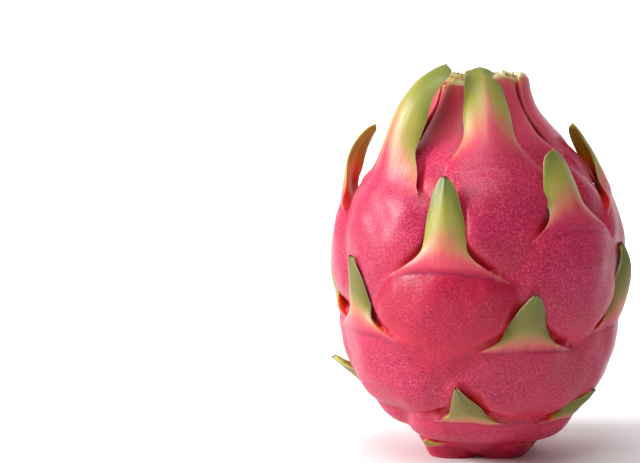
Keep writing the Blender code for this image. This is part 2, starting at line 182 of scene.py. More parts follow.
SCALES = {
    Tier.FOOT: [
        Scale(-50, 3.0, longer=0.38, wider=0.52, fuller=1.4, out=-24, greener=-0.3, deeper=0.8),
        Scale(47, 2.8, longer=0.30, wider=0.50, fuller=0.7, out=-24, greener=-1.0, deeper=0.8),
        Scale(112, 3.6, longer=0.32, wider=0.46, fuller=0.8, out=-24, greener=-0.3, deeper=0.8),
        Scale(180, 3.6, longer=0.34, wider=0.46, out=-24, greener=-0.3, deeper=0.8),
        Scale(247, 3.6, longer=0.32, wider=0.44, fuller=1.2, out=-24, greener=-0.3, deeper=0.8),
    ],
    Tier.LOWEST: [
        Scale(-5, 14.5, longer=1.16, wider=1.5, broader=0.70, lean=-12, out=-8, waist=0.02, greener=0.26,
              deeper=0.15),
        Scale(66, 13.4, longer=0.85, wider=0.92, out=-8, hook=6, greener=0.25),
        Scale(140, 15.5, wider=0.84, greener=0.2),
        Scale(205, 13.0, wider=0.80, lean=6, greener=0.2),
        Scale(264, 18.2, wider=0.80, fuller=0.75, out=9, greener=0.2),
    ],
    Tier.UNDER_BELLY: [
        Scale(18.5, 36.0, longer=0.79, wider=1.3, lean=5.5, greener=0.11, deeper=0.1),
        Scale(-62, 38.0, wider=1.5, lean=1, out=-9),
        Scale(79, 40.2, longer=0.96, wider=1.15, broader=1.4, fuller=0.9, out=2, hook=54),
        Scale(124, 33.0, longer=0.92, lean=-4),
        Scale(176, 40.0, longer=0.93, out=-3, hook=8),
        Scale(221, 34.0, longer=0.90, lean=4),
        Scale(259, 41.4, longer=0.78, fuller=1.4, out=5, hook=45),
    ],
    Tier.ABOVE_BELLY: [
        Scale(-14.5, 56.8, longer=0.945, wider=1.14, lean=-1, deeper=1.0),
        Scale(43.8, 67.0, longer=0.745, broader=1.12, lean=-9.5),
        Scale(96, 73.0, longer=0.73, broader=0.90, lean=-3, out=-4.2, hook=2, twist=-16),
        Scale(142, 61.0, longer=0.88, out=2),
        Scale(194, 66.0, longer=0.92, out=4, lean=-4),
        Scale(231, 59.0, longer=0.88),
        Scale(260, 71.0, longer=0.67, broader=0.70, fuller=1.9, out=12, hook=40, twist=18),
    ],
    Tier.SHOULDER: [
        Scale(-58.2, 79.0, longer=1.08, wider=1.12, broader=1.42, lean=10, out=23, hook=57, waist=0.14,
              greener=0.18),
        Scale(7, 82.5, longer=0.98, wider=0.94, broader=1.06, lean=-3, out=11.5, hook=29),
        Scale(127, 83.0, longer=0.72, hook=8),
        Scale(168, 80.0, longer=0.80, out=9, hook=14),
        Scale(214, 84.0, longer=0.72, out=10, hook=8),
    ],
    Tier.PRESSED: [
        Scale(-30, 86.0, longer=0.93, wider=0.84, broader=1.25),
        Scale(34, 86.5, longer=0.985, wider=1.65, broader=0.85, lean=-4),
        Scale(77, 89.5, wider=1.2),
        Scale(142, 88.0, longer=0.95),
        Scale(190, 89.0, longer=0.98),
        Scale(246, 88.0, longer=0.96),
        Scale(276, 89.5, longer=0.93),
    ],
}


@dataclass
class Outline:
    """The fruit's outline under its cushions, as radius and height in mm.

    It runs from the middle of the stem hollow over the foot, belly, shoulder and neck to the rim,
    and down to the middle of the flower scar. A smooth curve goes through the points: cubic
    Hermite pieces over the square root of the spans, with slopes from the neighbouring points.
    """

    points: list[tuple[float, float]] = field(
        default_factory=lambda: [
            (0.0, 3.6), (5.8, 3.5), (7.2, 0.9), (10.0, -0.6), (13.6, 0.8), (18.9, 5.2),
            (25.2, 11.7), (32.0, 20.0), (35.5, 31.0), (39.5, 46.0), (39.6, 57.5), (37.9, 67.5),
            (33.8, 77.6), (26.4, 86.4), (19.0, 93.6), (14.4, 99.4), (12.4, 104.6), (11.6, 108.3),
            (10.2, 108.8), (8.4, 105.6), (6.2, 102.7), (0.0, 102.0),
        ]
    )
    samples: int = 1200
    fine_reach: float = 9.0 * MM
    rim_height: float = 108.8 * MM

    def __post_init__(self) -> None:
        """Sample the curve, and note the distance along it, its tangent, its foot and its rim."""
        points = np.array(self.points) * MM
        spans = np.linalg.norm(np.diff(points, axis=0), axis=1) ** 0.5
        knots = np.append(0.0, np.cumsum(spans))
        slopes = np.gradient(points, knots, axis=0)
        fine = np.linspace(0.0, knots[-1], self.samples)
        span = np.clip(np.searchsorted(knots, fine, side="right") - 1, 0, len(knots) - 2)
        width = (knots[span + 1] - knots[span])[:, None]
        t = (fine[:, None] - knots[span][:, None]) / width
        curve = (
            points[span] * (1 + 2 * t) * (1 - t) ** 2
            + slopes[span] * width * t * (1 - t) ** 2
            + points[span + 1] * t**2 * (3 - 2 * t)
            + slopes[span + 1] * width * t**2 * (t - 1)
        )
        steps = np.linalg.norm(np.diff(curve, axis=0), axis=1)
        self.along = np.append(0.0, np.cumsum(steps))
        self.radii = np.maximum(curve[:, 0], 0.0)
        self.heights = curve[:, 1]
        self.tangent = np.gradient(curve, self.along, axis=0)
        self.foot = int(np.argmin(self.heights))
        self.rim = int(np.argmax(self.heights))

    def at(self, distance: Array | float) -> tuple[Array, Array, Array]:
        """Give radius, height and how far the surface leans inwards from upright, in radians.

        Args:
            distance: distances along the outline.

        Returns:
            The three, for each distance.
        """
        curves = (self.radii, self.heights, self.tangent[:, 0], self.tangent[:, 1])
        radius, height, outward, upward = (np.interp(distance, self.along, line) for line in curves)
        return radius, height, np.arctan2(-outward, upward)

    def row_distances(self, rows: int) -> Array:
        """Give the distances of a mesh's rows, set closer round the foot and at the rim.

        Args:
            rows: how many rows.

        Returns:
            One distance for each row.
        """
        from_foot = (self.along - self.along[self.foot]) / self.fine_reach
        from_rim = (self.along - self.along[self.rim]) / self.fine_reach
        total = np.cumsum(1.0 + 0.8 * bell(from_foot) + 0.8 * bell(from_rim))
        return np.interp(np.linspace(0.0, total[-1], rows + 2)[1:-1], total, self.along)

    def distance_at_height(self, height: float) -> float:
        """Give the distance at which the outer side, from the foot to the rim, has this height."""
        side = slice(self.foot, self.rim + 1)
        return float(np.interp(height, self.heights[side], self.along[side]))


@dataclass(frozen=True)
class ScaleRule:
    """What every scale shares, and how it changes from the ground to the crown.

    A pair gives a value below the crown and one on it. Green, rosy and grainy are colours that
    follow the distance above the root line or the share of the length.
    """

    length: tuple[float, float] = (9.0 * MM, 36.0 * MM)
    drop: Growth = Growth(4.8 * MM, -1.3 * MM, 0.36)
    cushion: Growth = Growth(8.0 * MM, 27.0 * MM, 0.60)
    bulge: Growth = Growth(1.6 * MM, 1.6 * MM, 0.25)
    half_width: Growth = Growth(7.4 * MM, -1.2 * MM, 0.50)
    point: Growth = Growth(1.02, -0.56, 0.56)
    crest: tuple[float, float] = (-0.38, -0.12)
    wing: float = 17.0 * MM
    wing_arc: float = math.radians(62.0)
    crown_start: float = 0.53
    crown_span: float = 0.18
    crown_drop: float = 0.6 * MM
    crown_cushion: float = 0.75
    crown_bulge: float = 0.70
    crown_point: float = -0.18
    crown_lean: float = 0.78
    low_end: float = 0.30
    low_span: float = 0.15
    low_out: float = 7.0
    inward_bend: float = 6.0
    upper_bend: tuple[float, float, float] = (12.0, 0.40, 0.35)
    foot_drop: float = 1.8 * MM
    foot_cushion: float = 13.0 * MM
    foot_bulge: float = 2.1 * MM
    foot_grainy: float = 0.3
    pressed_below_rim: float = -0.3 * MM
    pressed_wing: float = 11.5 * MM
    pressed_drop: float = 9.0 * MM
    pressed_cushion: float = 11.0 * MM
    pressed_bulge: float = 1.0 * MM
    flare_start: tuple[float, float] = (0.645, 0.50)
    flare_power: tuple[float, float] = (1.6, 1.45)
    cushion_over_wing: Growth = Growth(0.80, 0.38, 0.45)
    cushion_shape: float = 0.78
    axil_slope: float = 4.5 * MM
    axil_depth: float = 1.6
    pocket_depth: float = 1.9 * MM
    pocket_start: float = 0.8 * MM
    pocket_edge: float = 2.2 * MM
    grainy_start: tuple[float, float] = (-5.0 * MM, 5.0 * MM)
    grainy_reach: tuple[float, float] = (9.0 * MM, 15.0 * MM)
    rosy_start: tuple[float, float] = (-0.3 * MM, -1.0 * MM)
    rosy_reach: tuple[float, float] = (3.3 * MM, 17.0 * MM)
    green_start: tuple[float, float] = (0.15, 0.32)
    green_span: tuple[float, float] = (0.58, 0.56)
    green_sooner: float = 0.20
    green_shorter: tuple[float, float] = (0.18, 0.08)


class ScaleForm:
    """One scale's sizes, worked out from its place on the fruit, and its surfaces."""

    def __init__(self, tier: Tier, scale: Scale, number: int, outline: Outline, rule: ScaleRule) -> None:
        """Work out the sizes.

        Args:
            tier: the row that it grows in.
            scale: its place, and how it departs from the rule.
            number: its place in the whole list, which seeds its own tone.
            outline: the fruit's outline.
            rule: what the scales share.
        """
        self.scale = scale
        self.outline = outline
        self.rule = rule
        self.pressed = tier is Tier.PRESSED
        self.at_foot = tier is Tier.FOOT
        self.tone = float(np.random.default_rng(200 + number).uniform(-1.0, 1.0))
        self.azimuth = math.radians(scale.azimuth)
        self.root = outline.distance_at_height(scale.height * MM)
        radius, _, self.root_lean = (float(value) for value in outline.at(self.root))
        share = scale.height * MM / outline.rim_height
        self.crown = crown = float(smooth((share - rule.crown_start) / rule.crown_span))
        low = float(smooth((rule.low_end - share) / rule.low_span))
        self.length = (rule.length[0] + rule.length[1] * share) * scale.longer
        self.wing = min(rule.wing * scale.wider, radius * rule.wing_arc)
        self.drop = rule.drop.at(share) + rule.crown_drop * crown
        self.cushion = rule.cushion.at(share) * mixed(1.0, rule.crown_cushion, crown)
        self.bulge = rule.bulge.at(share) * mixed(1.0, rule.crown_bulge, crown) * scale.fuller
        self.crest = mixed(*rule.crest, crown)
        self.cushion_wing = rule.cushion_over_wing.at(share)
        self.dull = float(fading(share, 0.40, 0.10))
        self.half_width = rule.half_width.at(share) * scale.broader
        self.point = rule.point.at(share) + rule.crown_point * crown
        self.flare_start = mixed(*rule.flare_start, crown) + scale.waist
        self.flare_power = mixed(*rule.flare_power, crown)
        self.flare_power *= mixed(max(1.0, scale.wider) ** 0.8, 1.0, crown)
        self.start = self.root_lean * mixed(1.0, rule.crown_lean, crown)
        self.start -= math.radians(scale.out + rule.low_out * low)
        bend, bend_from, bend_span = rule.upper_bend
        bend *= float(smooth((share - bend_from) / bend_span))
        self.turn = math.radians(rule.inward_bend * (1.0 - low) + bend)
        if self.at_foot:
            self.drop = rule.foot_drop
            self.cushion = rule.foot_cushion
            self.bulge = rule.foot_bulge * scale.fuller
        if self.pressed:
            self.length = float(outline.along[outline.rim]) - self.root - rule.pressed_below_rim
            self.length *= scale.longer
            self.wing = rule.pressed_wing * scale.wider
            self.drop = rule.pressed_drop
            self.cushion = rule.pressed_cushion
            self.bulge = rule.pressed_bulge

    def on_crown(self, pair: tuple[float, float]) -> float:
        """Give a pair's value for this scale, between the one below the crown and the one on it."""
        return mixed(*pair, self.crown)

    def cushion_height(self, side: Array, above: Array) -> Array:
        """Give the cushion's height over the outline, at distances sideways and above the root line.

        Below the root line it is a dome, a power of 1 less the squares of the shares of its reach
        sideways and along, and above that line it sinks into a recess.

        Args:
            side: distances round the fruit from the scale's middle.
            above: distances above the root line.

        Returns:
            Heights over the plain outline.
        """
        middle = self.crest * self.cushion
        below = np.minimum(above, 0.0)
        across = side / (self.cushion_wing * self.wing)
        dome = 1.0 - across**2 - ((below - middle) / (self.cushion + middle)) ** 2
        dome = np.minimum(dome, 0.0) + np.maximum(dome, 0.0) ** self.rule.cushion_shape
        recess = smooth(np.maximum(above, 0.0) / self.rule.axil_slope)
        return self.bulge * (dome * (1.0 - recess) - self.rule.axil_depth * recess)

    def pocket(self, side: Array, above: Array) -> Array:
        """Give how far into the pocket behind the scale a place is, from 0 to 1.

        Args:
            side: distances round the fruit from the scale's middle.
            above: distances above the root line.

        Returns:
            One share for each place.
        """
        if self.at_foot:
            return np.zeros_like(side)
        width = self.half_width_at(np.clip(self.length + self.drop - above, 1.0 * MM, None))
        across = fading(np.abs(side) / width, 0.70, 0.45)
        along = fading(above / self.length, 0.50, 0.40)
        return smooth((above - self.rule.pocket_start) / self.rule.pocket_edge) * across * along

    def axil(self, side: Array, above: Array) -> Array:
        """Give how near a place on the body is to the angle over the root line, from 0 to 1."""
        near = smooth((above - 0.3 * MM) / (1.5 * MM)) * fading(above, 0.0, 10.0 * MM)
        return near * fading(np.abs(side) / self.wing, 0.75, 0.45) * (0.3 if self.pressed else 1.0)

    def arch(self, side: Array) -> Array:
        """Give how sharp the crease along the root line is: 1 in the middle, 0 at its ends.

        Args:
            side: distances round the fruit from the scale's middle.

        Returns:
            One share for each place.
        """
        if self.pressed or self.at_foot:
            return np.zeros_like(side)
        return fading(np.abs(side) / self.wing, 0.45, 0.45) * (1.0 - self.crown)

    def grainy(self, above: Array) -> Array:
        """Give how strong the granular marking is: it fades over the root line, later on the crown.

        Args:
            above: distances above the root line.

        Returns:
            One share for each place.
        """
        if self.at_foot:
            return np.full_like(above, self.rule.foot_grainy)
        start, reach = self.on_crown(self.rule.grainy_start), self.on_crown(self.rule.grainy_reach)
        return 1.0 - 0.85 * smooth((above - start) / reach)

    def rosy(self, above: Array) -> Array:
        """Give how rosy the free part's base is: from the root line on, more slowly on the crown.

        Args:
            above: distances above the root line.

        Returns:
            One share for each place.
        """
        if self.at_foot:
            return np.zeros_like(above)
        start, reach = self.on_crown(self.rule.rosy_start), self.on_crown(self.rule.rosy_reach)
        return smooth((above - start) / reach)

    def green(self, share: Array, across: Array) -> Array:
        """Give how far the colour has turned, from rose (0) through salmon and ochre to green (1).

        It starts at a share of the length and turns over a span, both less towards the margins.

        Args:
            share: shares of the length.
            across: shares of half the width.

        Returns:
            One number for each place.
        """
        if self.pressed:
            return (share - 0.90) / 0.5 + 0.22 * across**4 * smooth((share - 0.35) / 0.3)
        rule = self.rule
        start = self.on_crown(rule.green_start) - rule.green_sooner * across**2
        span = self.on_crown(rule.green_span) - self.on_crown(rule.green_shorter) * across**2
        start = start - self.scale.greener + 0.03 * self.tone
        return np.minimum((share - start) / span, share / 0.06)

    def local(self, azimuth: Array, distance: Array) -> tuple[Array, Array]:
        """Give a place on the outline as distances sideways and above the bowed root line.

        Args:
            azimuth: azimuths in radians.
            distance: distances along the outline.

        Returns:
            Both distances, for each place.
        """
        turn = (azimuth - self.azimuth + math.pi) % FULL_TURN - math.pi
        side = turn * self.outline.at(distance)[0]
        return side, distance - self.root + self.drop * (side / self.wing) ** 2

    def half_width_at(self, from_tip: Array) -> Array:
        """Give half the width: a leaf that widens as a power of the distance from its tip, plus the
        flare of its foot, another power of the depth past where the flare starts.

        Args:
            from_tip: distances from the tip.

        Returns:
            Half the width at each distance.
        """
        depth = np.clip(from_tip / (self.length + self.drop), 0.0, 1.2)
        leaf = self.half_width * (depth / self.flare_start) ** self.point
        leaf = leaf * from_tip / (from_tip + 0.25 * MM * (1.0 - self.crown) + 1e-6)
        if self.pressed:
            leaf = self.half_width * (0.72 + 0.3 * smooth(depth / self.flare_start))
        flare = np.clip((depth - self.flare_start) / (1.0 - self.flare_start), 0.0, 1.0)
        return leaf + (self.wing - leaf) * flare**self.flare_power

    def middle_line(self, rise: Array) -> tuple[Array, Array, Array]:
        """Give radius, height and inward lean of the scale's middle line above its root.

        Up to the root, and all the way on a pressed scale, it lies on the outline. Above it the line
        is added up from short steps at a slowly turning angle, to which a hook adds with the cube of
        the share that is run.

        Args:
            rise: distances above the root.

        Returns:
            The three, for each distance.
        """
        radius, height, lean = self.outline.at(self.root + rise)
        if self.pressed:
            return radius, height, lean
        steps = np.linspace(0.0, 1.0, 120)
        angle = self.start + self.turn * steps + math.radians(self.scale.hook) * steps**3
        angle = angle + (self.root_lean - angle) * fading(steps, 0.0, 0.16) * self.crown
        middle = 0.5 * (angle[1:] + angle[:-1])
        step = self.length / (len(steps) - 1)
        inward = np.append(0.0, np.cumsum(np.sin(middle))) * step
        upward = np.append(0.0, np.cumsum(np.cos(middle))) * step
        root_radius, root_height, _ = self.outline.at(self.root)
        share = rise / self.length
        free = rise > 0.0
        return (
            np.where(free, root_radius - np.interp(share, steps, inward), radius),
            np.where(free, root_height + np.interp(share, steps, upward), height),
            np.where(free, np.interp(share, steps, angle), lean),
        )


@dataclass
class Relief:
    """The skin's height over the plain outline: the highest cushion, less the deepest pocket."""

    outline: Outline
    forms: list[ScaleForm]
    softness: float = 0.25 * MM
    floor: float = -1.2 * MM
    plain_at_rim: float = 7.0 * MM
    plain_at_foot: float = 4.0 * MM
    valley_reach: float = 0.6 * MM
    claim: float = 0.3

    def height(self, azimuth: Array, distance: Array, pockets: bool = True) -> Array:
        """Give the skin's height over the outline.

        The cushions are joined by the logarithm of the sum of their exponentials, which rounds the
        valleys between them.

        Args:
            azimuth: azimuths in radians.
            distance: distances along the outline.
            pockets: whether the pockets behind the scales are cut.

        Returns:
            Heights over the outline.
        """
        total = np.full(np.shape(distance), math.exp(self.floor / self.softness))
        pocket = np.zeros(np.shape(distance))
        for form in self.forms:
            side, above = form.local(azimuth, distance)
            total = total + np.exp(form.cushion_height(side, above) / self.softness)
            if pockets:
                pocket = np.maximum(pocket, form.rule.pocket_depth * form.pocket(side, above))
        raised = self.softness * np.log(total) - pocket
        below_rim = (self.outline.along[self.outline.rim] - distance) / self.plain_at_rim
        past_foot = (distance - self.outline.along[self.outline.foot]) / self.plain_at_foot
        return raised * smooth(below_rim) * smooth(past_foot + 0.9)

    def places(self, azimuth: Array, distance: Array) -> dict[str, Array]:
        """Tell what the skin is like at each place.

        Args:
            azimuth: azimuths in radians.
            distance: distances along the outline.

        Returns:
            For the scale whose cushion the place lies on: the distances sideways and above its root
            line, its bulge, crease, grain, rosiness and crimson. For the place itself, from 0 to 1:
            how deep in a pocket, how near an angle over a root line, and how near a valley it is.
        """
        zeros = np.zeros(np.shape(distance))
        names = ("side", "rise", "bulge", "arch", "grainy", "rosy", "deeper", "pocket", "axil")
        found = {name: zeros for name in names}
        best = zeros - 1.0
        second = zeros - 1.0
        for form in self.forms:
            side, above = form.local(azimuth, distance)
            past = np.maximum(above, 0.0) + np.maximum(np.abs(side) - form.wing, 0.0)
            here = form.cushion_height(side, above) - self.claim * past
            higher = here > best
            second = np.where(higher, best, np.maximum(second, here))
            best = np.where(higher, here, best)
            own = {
                "side": side, "rise": above, "bulge": form.bulge, "arch": form.arch(side),
                "grainy": form.grainy(above), "rosy": form.rosy(above), "deeper": form.scale.deeper,
            }
            for name, values in own.items():
                found[name] = np.where(higher, values, found[name])
            found["pocket"] = np.maximum(found["pocket"], form.pocket(side, above))
            found["axil"] = np.maximum(found["axil"], form.axil(side, above))
        # How near a valley between two cushions: the finish darkens it there as painted shade.
        found["valley"] = bell((best - second) / self.valley_reach)
        found["grainy"] = found["grainy"] * (1.0 - 0.7 * found["axil"])
        return found


@dataclass
class Surface:
    """A mesh in the making: points, triangles, and numbers that the finish reads at each point."""

    points: Array
    triangles: Array
    marks: dict[str, Array] = field(default_factory=dict)
    run: Array | None = None

    def to_object(self, name: str) -> Object:
        """Put the surface into a smooth mesh object of that name in the scene, with its marks as
        corner attributes and its run as a UV map.

        Args:
            name: the name that it gets.

        Returns:
            The object.
        """
        mesh = bpy.data.meshes.new(name)
        corners = self.triangles.astype(np.int32)
        mesh.vertices.add(len(self.points))
        mesh.vertices.foreach_set("co", self.points.astype(np.float32).ravel())
        mesh.loops.add(corners.size)
        mesh.loops.foreach_set("vertex_index", corners.ravel())
        mesh.polygons.add(len(corners))
        mesh.polygons.foreach_set("loop_start", np.arange(len(corners), dtype=np.int32) * 3)
        mesh.update(calc_edges=True)
        for mark, values in self.marks.items():
            layer = mesh.attributes.new(mark, "FLOAT", "CORNER")
            layer.data.foreach_set("value", values[corners].astype(np.float32).ravel())
        if self.run is not None:
            layer = mesh.uv_layers.new(name="run")
            layer.data.foreach_set("uv", self.run[corners].astype(np.float32).ravel())
        mesh.shade_smooth()
        obj = bpy.data.objects.new(name, mesh)
        bpy.context.scene.collection.objects.link(obj)
        return obj


def values_of(items: bpy.types.bpy_prop_collection, name: str, kind: type, width: int = 1) -> Array:
    """Read one property of all of a mesh's elements, with as many numbers each as width says.

    Args:
        items: the mesh's points, edges or corners, or an attribute's values.
        name: the property's name.
        kind: the type of number.
        width: how many numbers each has.

    Returns:
        The numbers, one row to each element.
    """
    values = np.empty(len(items) * width, kind)
    items.foreach_get(name, values)
    return values if width == 1 else values.reshape(-1, width)


def grid_triangles(columns: int, rows: int, closed: bool = True) -> Array:
    """Give the triangles of a grid of points, two to each cell.

    Args:
        columns: cells across, which is also the points across where the grid is closed.
        rows: cells along.
        closed: whether the last column joins the first.

    Returns:
        Indices into the points, counted row by row.
    """
    across = columns if closed else columns + 1
    row, column = np.meshgrid(np.arange(rows), np.arange(columns), indexing="ij")
    a = row * across + column
    b = row * across + (column + 1) % across
    first = np.stack([a, b, b + across], axis=-1).reshape(-1, 3)
    second = np.stack([a, b + across, a + across], axis=-1).reshape(-1, 3)
    return np.vstack([first, second])


def tube(rings: Array, on_axis: tuple[float, float] | None = None) -> tuple[Array, Array]:
    """Close a grid of rings into a shell, with a fan of triangles to a point at each end.

    Args:
        rings: the points, one ring to a row.
        on_axis: the heights of end points on the axis, or nothing for the end rings' middles.

    Returns:
        All the points, and the triangles as indices into them.
    """
    rows, columns = rings.shape[:2]
    ends = [rings[0].mean(axis=0), rings[-1].mean(axis=0)]
    if on_axis:
        ends = [(0.0, 0.0, height) for height in on_axis]
    column = np.arange(columns)
    following = (column + 1) % columns
    start = columns * rows
    last = start - columns
    under = np.stack([np.full(columns, start), following, column], axis=-1)
    over = np.stack([np.full(columns, start + 1), last + column, last + following], axis=-1)
    triangles = np.vstack([grid_triangles(columns, rows - 1), under, over])
    return np.vstack([rings.reshape(-1, 3), ends]), triangles


def turned(radius: Array, height: Array, azimuth: Array) -> Array:
    """Give the places at a radius and height on the half plane of an azimuth."""
    return np.stack([radius * np.sin(azimuth), -radius * np.cos(azimuth), height], axis=-1)


def turned_profile(
    profile: tuple[tuple[float, float], ...], rows: int, columns: int
) -> tuple[Array, Array, Array, Array]:
    """Turn a profile of radii and heights in mm round the axis.

    Args:
        profile: the radii and heights.
        rows: how many rows.
        columns: how many columns.

    Returns:
        For each point of the grid: the share along the profile, azimuth, radius and height.
    """
    place = np.linspace(0.0, 1.0, rows + 2)[1:-1]
    azimuth = np.arange(columns) * (FULL_TURN / columns)
    place, azimuth = np.meshgrid(place, azimuth, indexing="ij")
    knots = np.linspace(0.0, 1.0, len(profile))
    radius, height = (np.interp(place, knots, np.array(line) * MM) for line in zip(*profile))
    return place, azimuth, radius, height


def all_marks(shape: tuple[int, ...], own: dict[str, Array | float]) -> dict[str, Array]:
    """Give every mark of the skin over a grid of points: its own value, or 0."""
    return {mark: np.zeros(shape) + own.get(mark, 0.0) for mark in MARKS}


def apply_boolean(
    obj: Object, operation: str, other: Object | None = None, collection: Collection | None = None
) -> None:
    """Join or cut an object with another one or with a collection's, and keep the result.

    Args:
        obj: the object.
        operation: UNION or DIFFERENCE.
        other: the other object, or nothing.
        collection: a collection of others, or nothing.
    """
    modifier = obj.modifiers.new(operation.lower(), "BOOLEAN")
    modifier.operation = operation
    modifier.solver = "MANIFOLD"
    if collection:
        modifier.operand_type = "COLLECTION"
        modifier.collection = collection
    else:
        modifier.object = other
    bpy.context.view_layer.objects.active = obj
    bpy.ops.object.modifier_apply(modifier=modifier.name)


@dataclass
class FruitSkin:
    """The skin, its cushions and all its scales, grown as one body."""

    name: str = "skin_and_scales"
    outline: Outline = field(default_factory=Outline)
    rule: ScaleRule = field(default_factory=ScaleRule)
    body_columns: int = 256
    body_rows: int = 184
    section_points: int = 46
    blade_rows: int = 34
    small_section_points: int = 28
    small_blade_rows: int = 16
    edge_thickness: float = 0.55 * MM
    root_thickness: float = 2.6 * MM
    tip_thickness: float = 1.2 * MM
    root_overlap: float = 2.0 * MM
    root_slope: float = 0.32
    root_depth: float = 2.4 * MM
    cross_radius: float = 10.0 * MM
    tightest_roll: float = 6.0 * MM
    lip: float = 0.35 * MM
    keel_slope: float = 0.24
    keel_width: float = 0.9 * MM
    tip_round: float = 1.1 * MM
    midrib: float = 0.28 * MM
    margin_wave: float = 0.035
    wave_length: float = 2.3 * MM
    wave_free_tip: float = 9.0 * MM
    loose_share: float = 0.4
    lip_reach: float = 3.0 * MM
    rib_width: float = 0.13
    crown_keel: float = 3.6
    root_fade: float = 0.34
    line_place: tuple[float, float] = (0.04, 0.09)
    crown_line: float = 0.38
    crown_tip_lightening: float = 3.5
    coarse_lumps: Lumps = Lumps(7.0 * MM, 11)
    fine_lumps: Lumps = Lumps(2.6 * MM, 12)
    lump_heights: tuple[float, float] = (0.30, 0.10)
    even_foot: tuple[float, float] = (3.0 * MM, 9.0 * MM)
    blade_lumps: Lumps = Lumps(3.0 * MM, 31)
    blade_lump_height: float = 0.12 * MM
    scar_edge: float = 2.4 * MM
    run_unit: float = 100.0 * MM
    weld: float = 0.001 * MM
    pleat_count: int = 31
    pleat_depth: float = 0.34 * MM
    pleat_reach: float = 24.0 * MM
    pleat_wander: float = 1.4
    pleat_lumps: Lumps = Lumps(9.0 * MM, 21)
    easing: tuple[float, float] = (0.14, 1.0)
    easing_crown: tuple[float, float] = (62.0 * MM, 16.0 * MM)
    easing_reach: float = 1.9
    easing_margin: float = 0.8
    easing_share: float = 0.55
    easing_passes: int = 14

    def __post_init__(self) -> None:
        """Work out the scales' forms and the relief that they raise."""
        scales = [(tier, scale) for tier, row in SCALES.items() for scale in row]
        self.forms = [
            ScaleForm(tier, scale, number, self.outline, self.rule)
            for number, (tier, scale) in enumerate(scales)
        ]
        self.relief = Relief(self.outline, self.forms)

    def body(self) -> Surface:
        """Make the body: the outline turned round the axis, with the cushions raised from it.

        Each point is the outline's point moved along its normal by the relief, plus low lumps and,
        on the neck, pleats that run up to the rim.

        Returns:
            The closed body, with its marks.
        """
        outline = self.outline
        columns = np.arange(self.body_columns) * (FULL_TURN / self.body_columns)
        distance, azimuth = np.meshgrid(outline.row_distances(self.body_rows), columns, indexing="ij")
        radius, height, lean = outline.at(distance)
        flat = turned(radius, height, azimuth)
        raised = self.relief.height(azimuth, distance) + self.unevenness(flat)
        raised = raised + self.pleats(azimuth, distance, flat)
        rings = turned(radius + raised * np.cos(lean), height + raised * np.sin(lean), azimuth)
        points, triangles = tube(rings, (outline.heights[0], outline.heights[-1]))
        found = self.relief.places(azimuth, distance)
        crest = (raised - self.relief.floor) / (found["bulge"] - self.relief.floor)
        past_rim = distance > outline.along[outline.rim] - self.scar_edge
        own = {
            "green": np.where(past_rim, 0.5, -1.0), "margin": 9.0, "tip": FAR_FROM_TIP,
            "crest": np.clip(crest, 0.0, 1.0), "rise": np.clip(found["rise"] / MM, -40.0, 12.0),
        }
        marks = all_marks(distance.shape, found | own)
        marks = {name: np.append(values.ravel(), [0.0, 0.0]) for name, values in marks.items()}
        run = np.stack([found["side"].ravel(), found["rise"].ravel()], axis=-1) / self.run_unit
        return Surface(points, triangles, marks, np.vstack([run, np.zeros((2, 2))]))

    def unevenness(self, flat: Array) -> Array:
        """Give the low lumps of two sizes that keep the skin from being perfectly even.

        Args:
            flat: places on the plain outline.

        Returns:
            Heights over the plain outline.
        """
        start, reach = self.even_foot
        coarse, fine = self.lump_heights
        lumps = coarse * self.coarse_lumps.at(flat) + fine * self.fine_lumps.at(flat)
        return smooth((flat[..., 2] - start) / reach) * lumps * MM

    def pleats(self, azimuth: Array, distance: Array, flat: Array) -> Array:
        """Give the neck's pleats: a wave round the axis that wanders, and grows towards the rim.

        Args:
            azimuth: azimuths in radians.
            distance: distances along the outline.
            flat: places on the plain outline.

        Returns:
            Heights over the plain outline.
        """
        to_rim = self.outline.along[self.outline.rim] - distance
        share = smooth(1.0 - to_rim / self.pleat_reach) * smooth(to_rim / (2.0 * MM) + 1.2)
        wander = self.pleat_wander * self.pleat_lumps.at(flat)
        return self.pleat_depth * share * np.sin(self.pleat_count * azimuth + wander)

    def blade(self, form: ScaleForm) -> Surface:
        """Make a scale's free part as one closed shell, with its root sunk into the fruit.

        The first parameter runs up the scale. The second runs round its section: the cosine of an
        angle gives the share across, from margin to margin over the outer face and back over the
        inner one. Each row is bowed, with its ends lower than its middle, so that the lowest one
        is the root line. A row on the fruit is as round as the fruit, and one near the tip is
        rolled tighter. The thickness falls from the middle to a rounded margin.

        Args:
            form: the scale's sizes.

        Returns:
            The closed shell, with its marks.
        """
        small = form.pressed or form.at_foot
        free = not form.pressed
        around = self.small_section_points if small else self.section_points
        rows = self.small_blade_rows if small else self.blade_rows
        even = np.linspace(0.0, 1.0, rows + 1)
        up_share = 0.5 * (even**1.15 + np.sin(0.5 * math.pi * even))
        theta = (np.arange(around) + 0.5) * (FULL_TURN / around)
        up_share, theta = np.meshgrid(up_share, theta, indexing="ij")
        u = np.cos(theta)
        outer_face = np.sin(theta) > 0.0
        roundness = np.abs(np.sin(theta)) ** 0.8
        edge = (form.length + form.drop + self.root_overlap) * (1.0 - up_share)
        middle = (form.length + self.root_overlap) * (1.0 - up_share)
        rise = form.length - middle - (edge - middle) * u**2
        share = np.clip(rise / form.length, 0.0, 1.0)
        cap = np.sqrt(1.0 - (1.0 - np.clip(edge / self.tip_round, 0.0, 1.0)) ** 2)
        wave = self.margin_wave * np.sin(edge / self.wave_length + 3.0 * form.tone)
        side = u * form.half_width_at(edge) * cap * (1.0 + wave * smooth(edge / self.wave_free_tip))
        radius, height, lean = form.middle_line(rise)
        loose = smooth(np.maximum(rise, 0.0) / (self.loose_share * form.length))
        roll = radius * (1.0 - loose) + self.cross_radius * loose if free else radius
        psi = side / np.maximum(roll, self.tightest_roll)
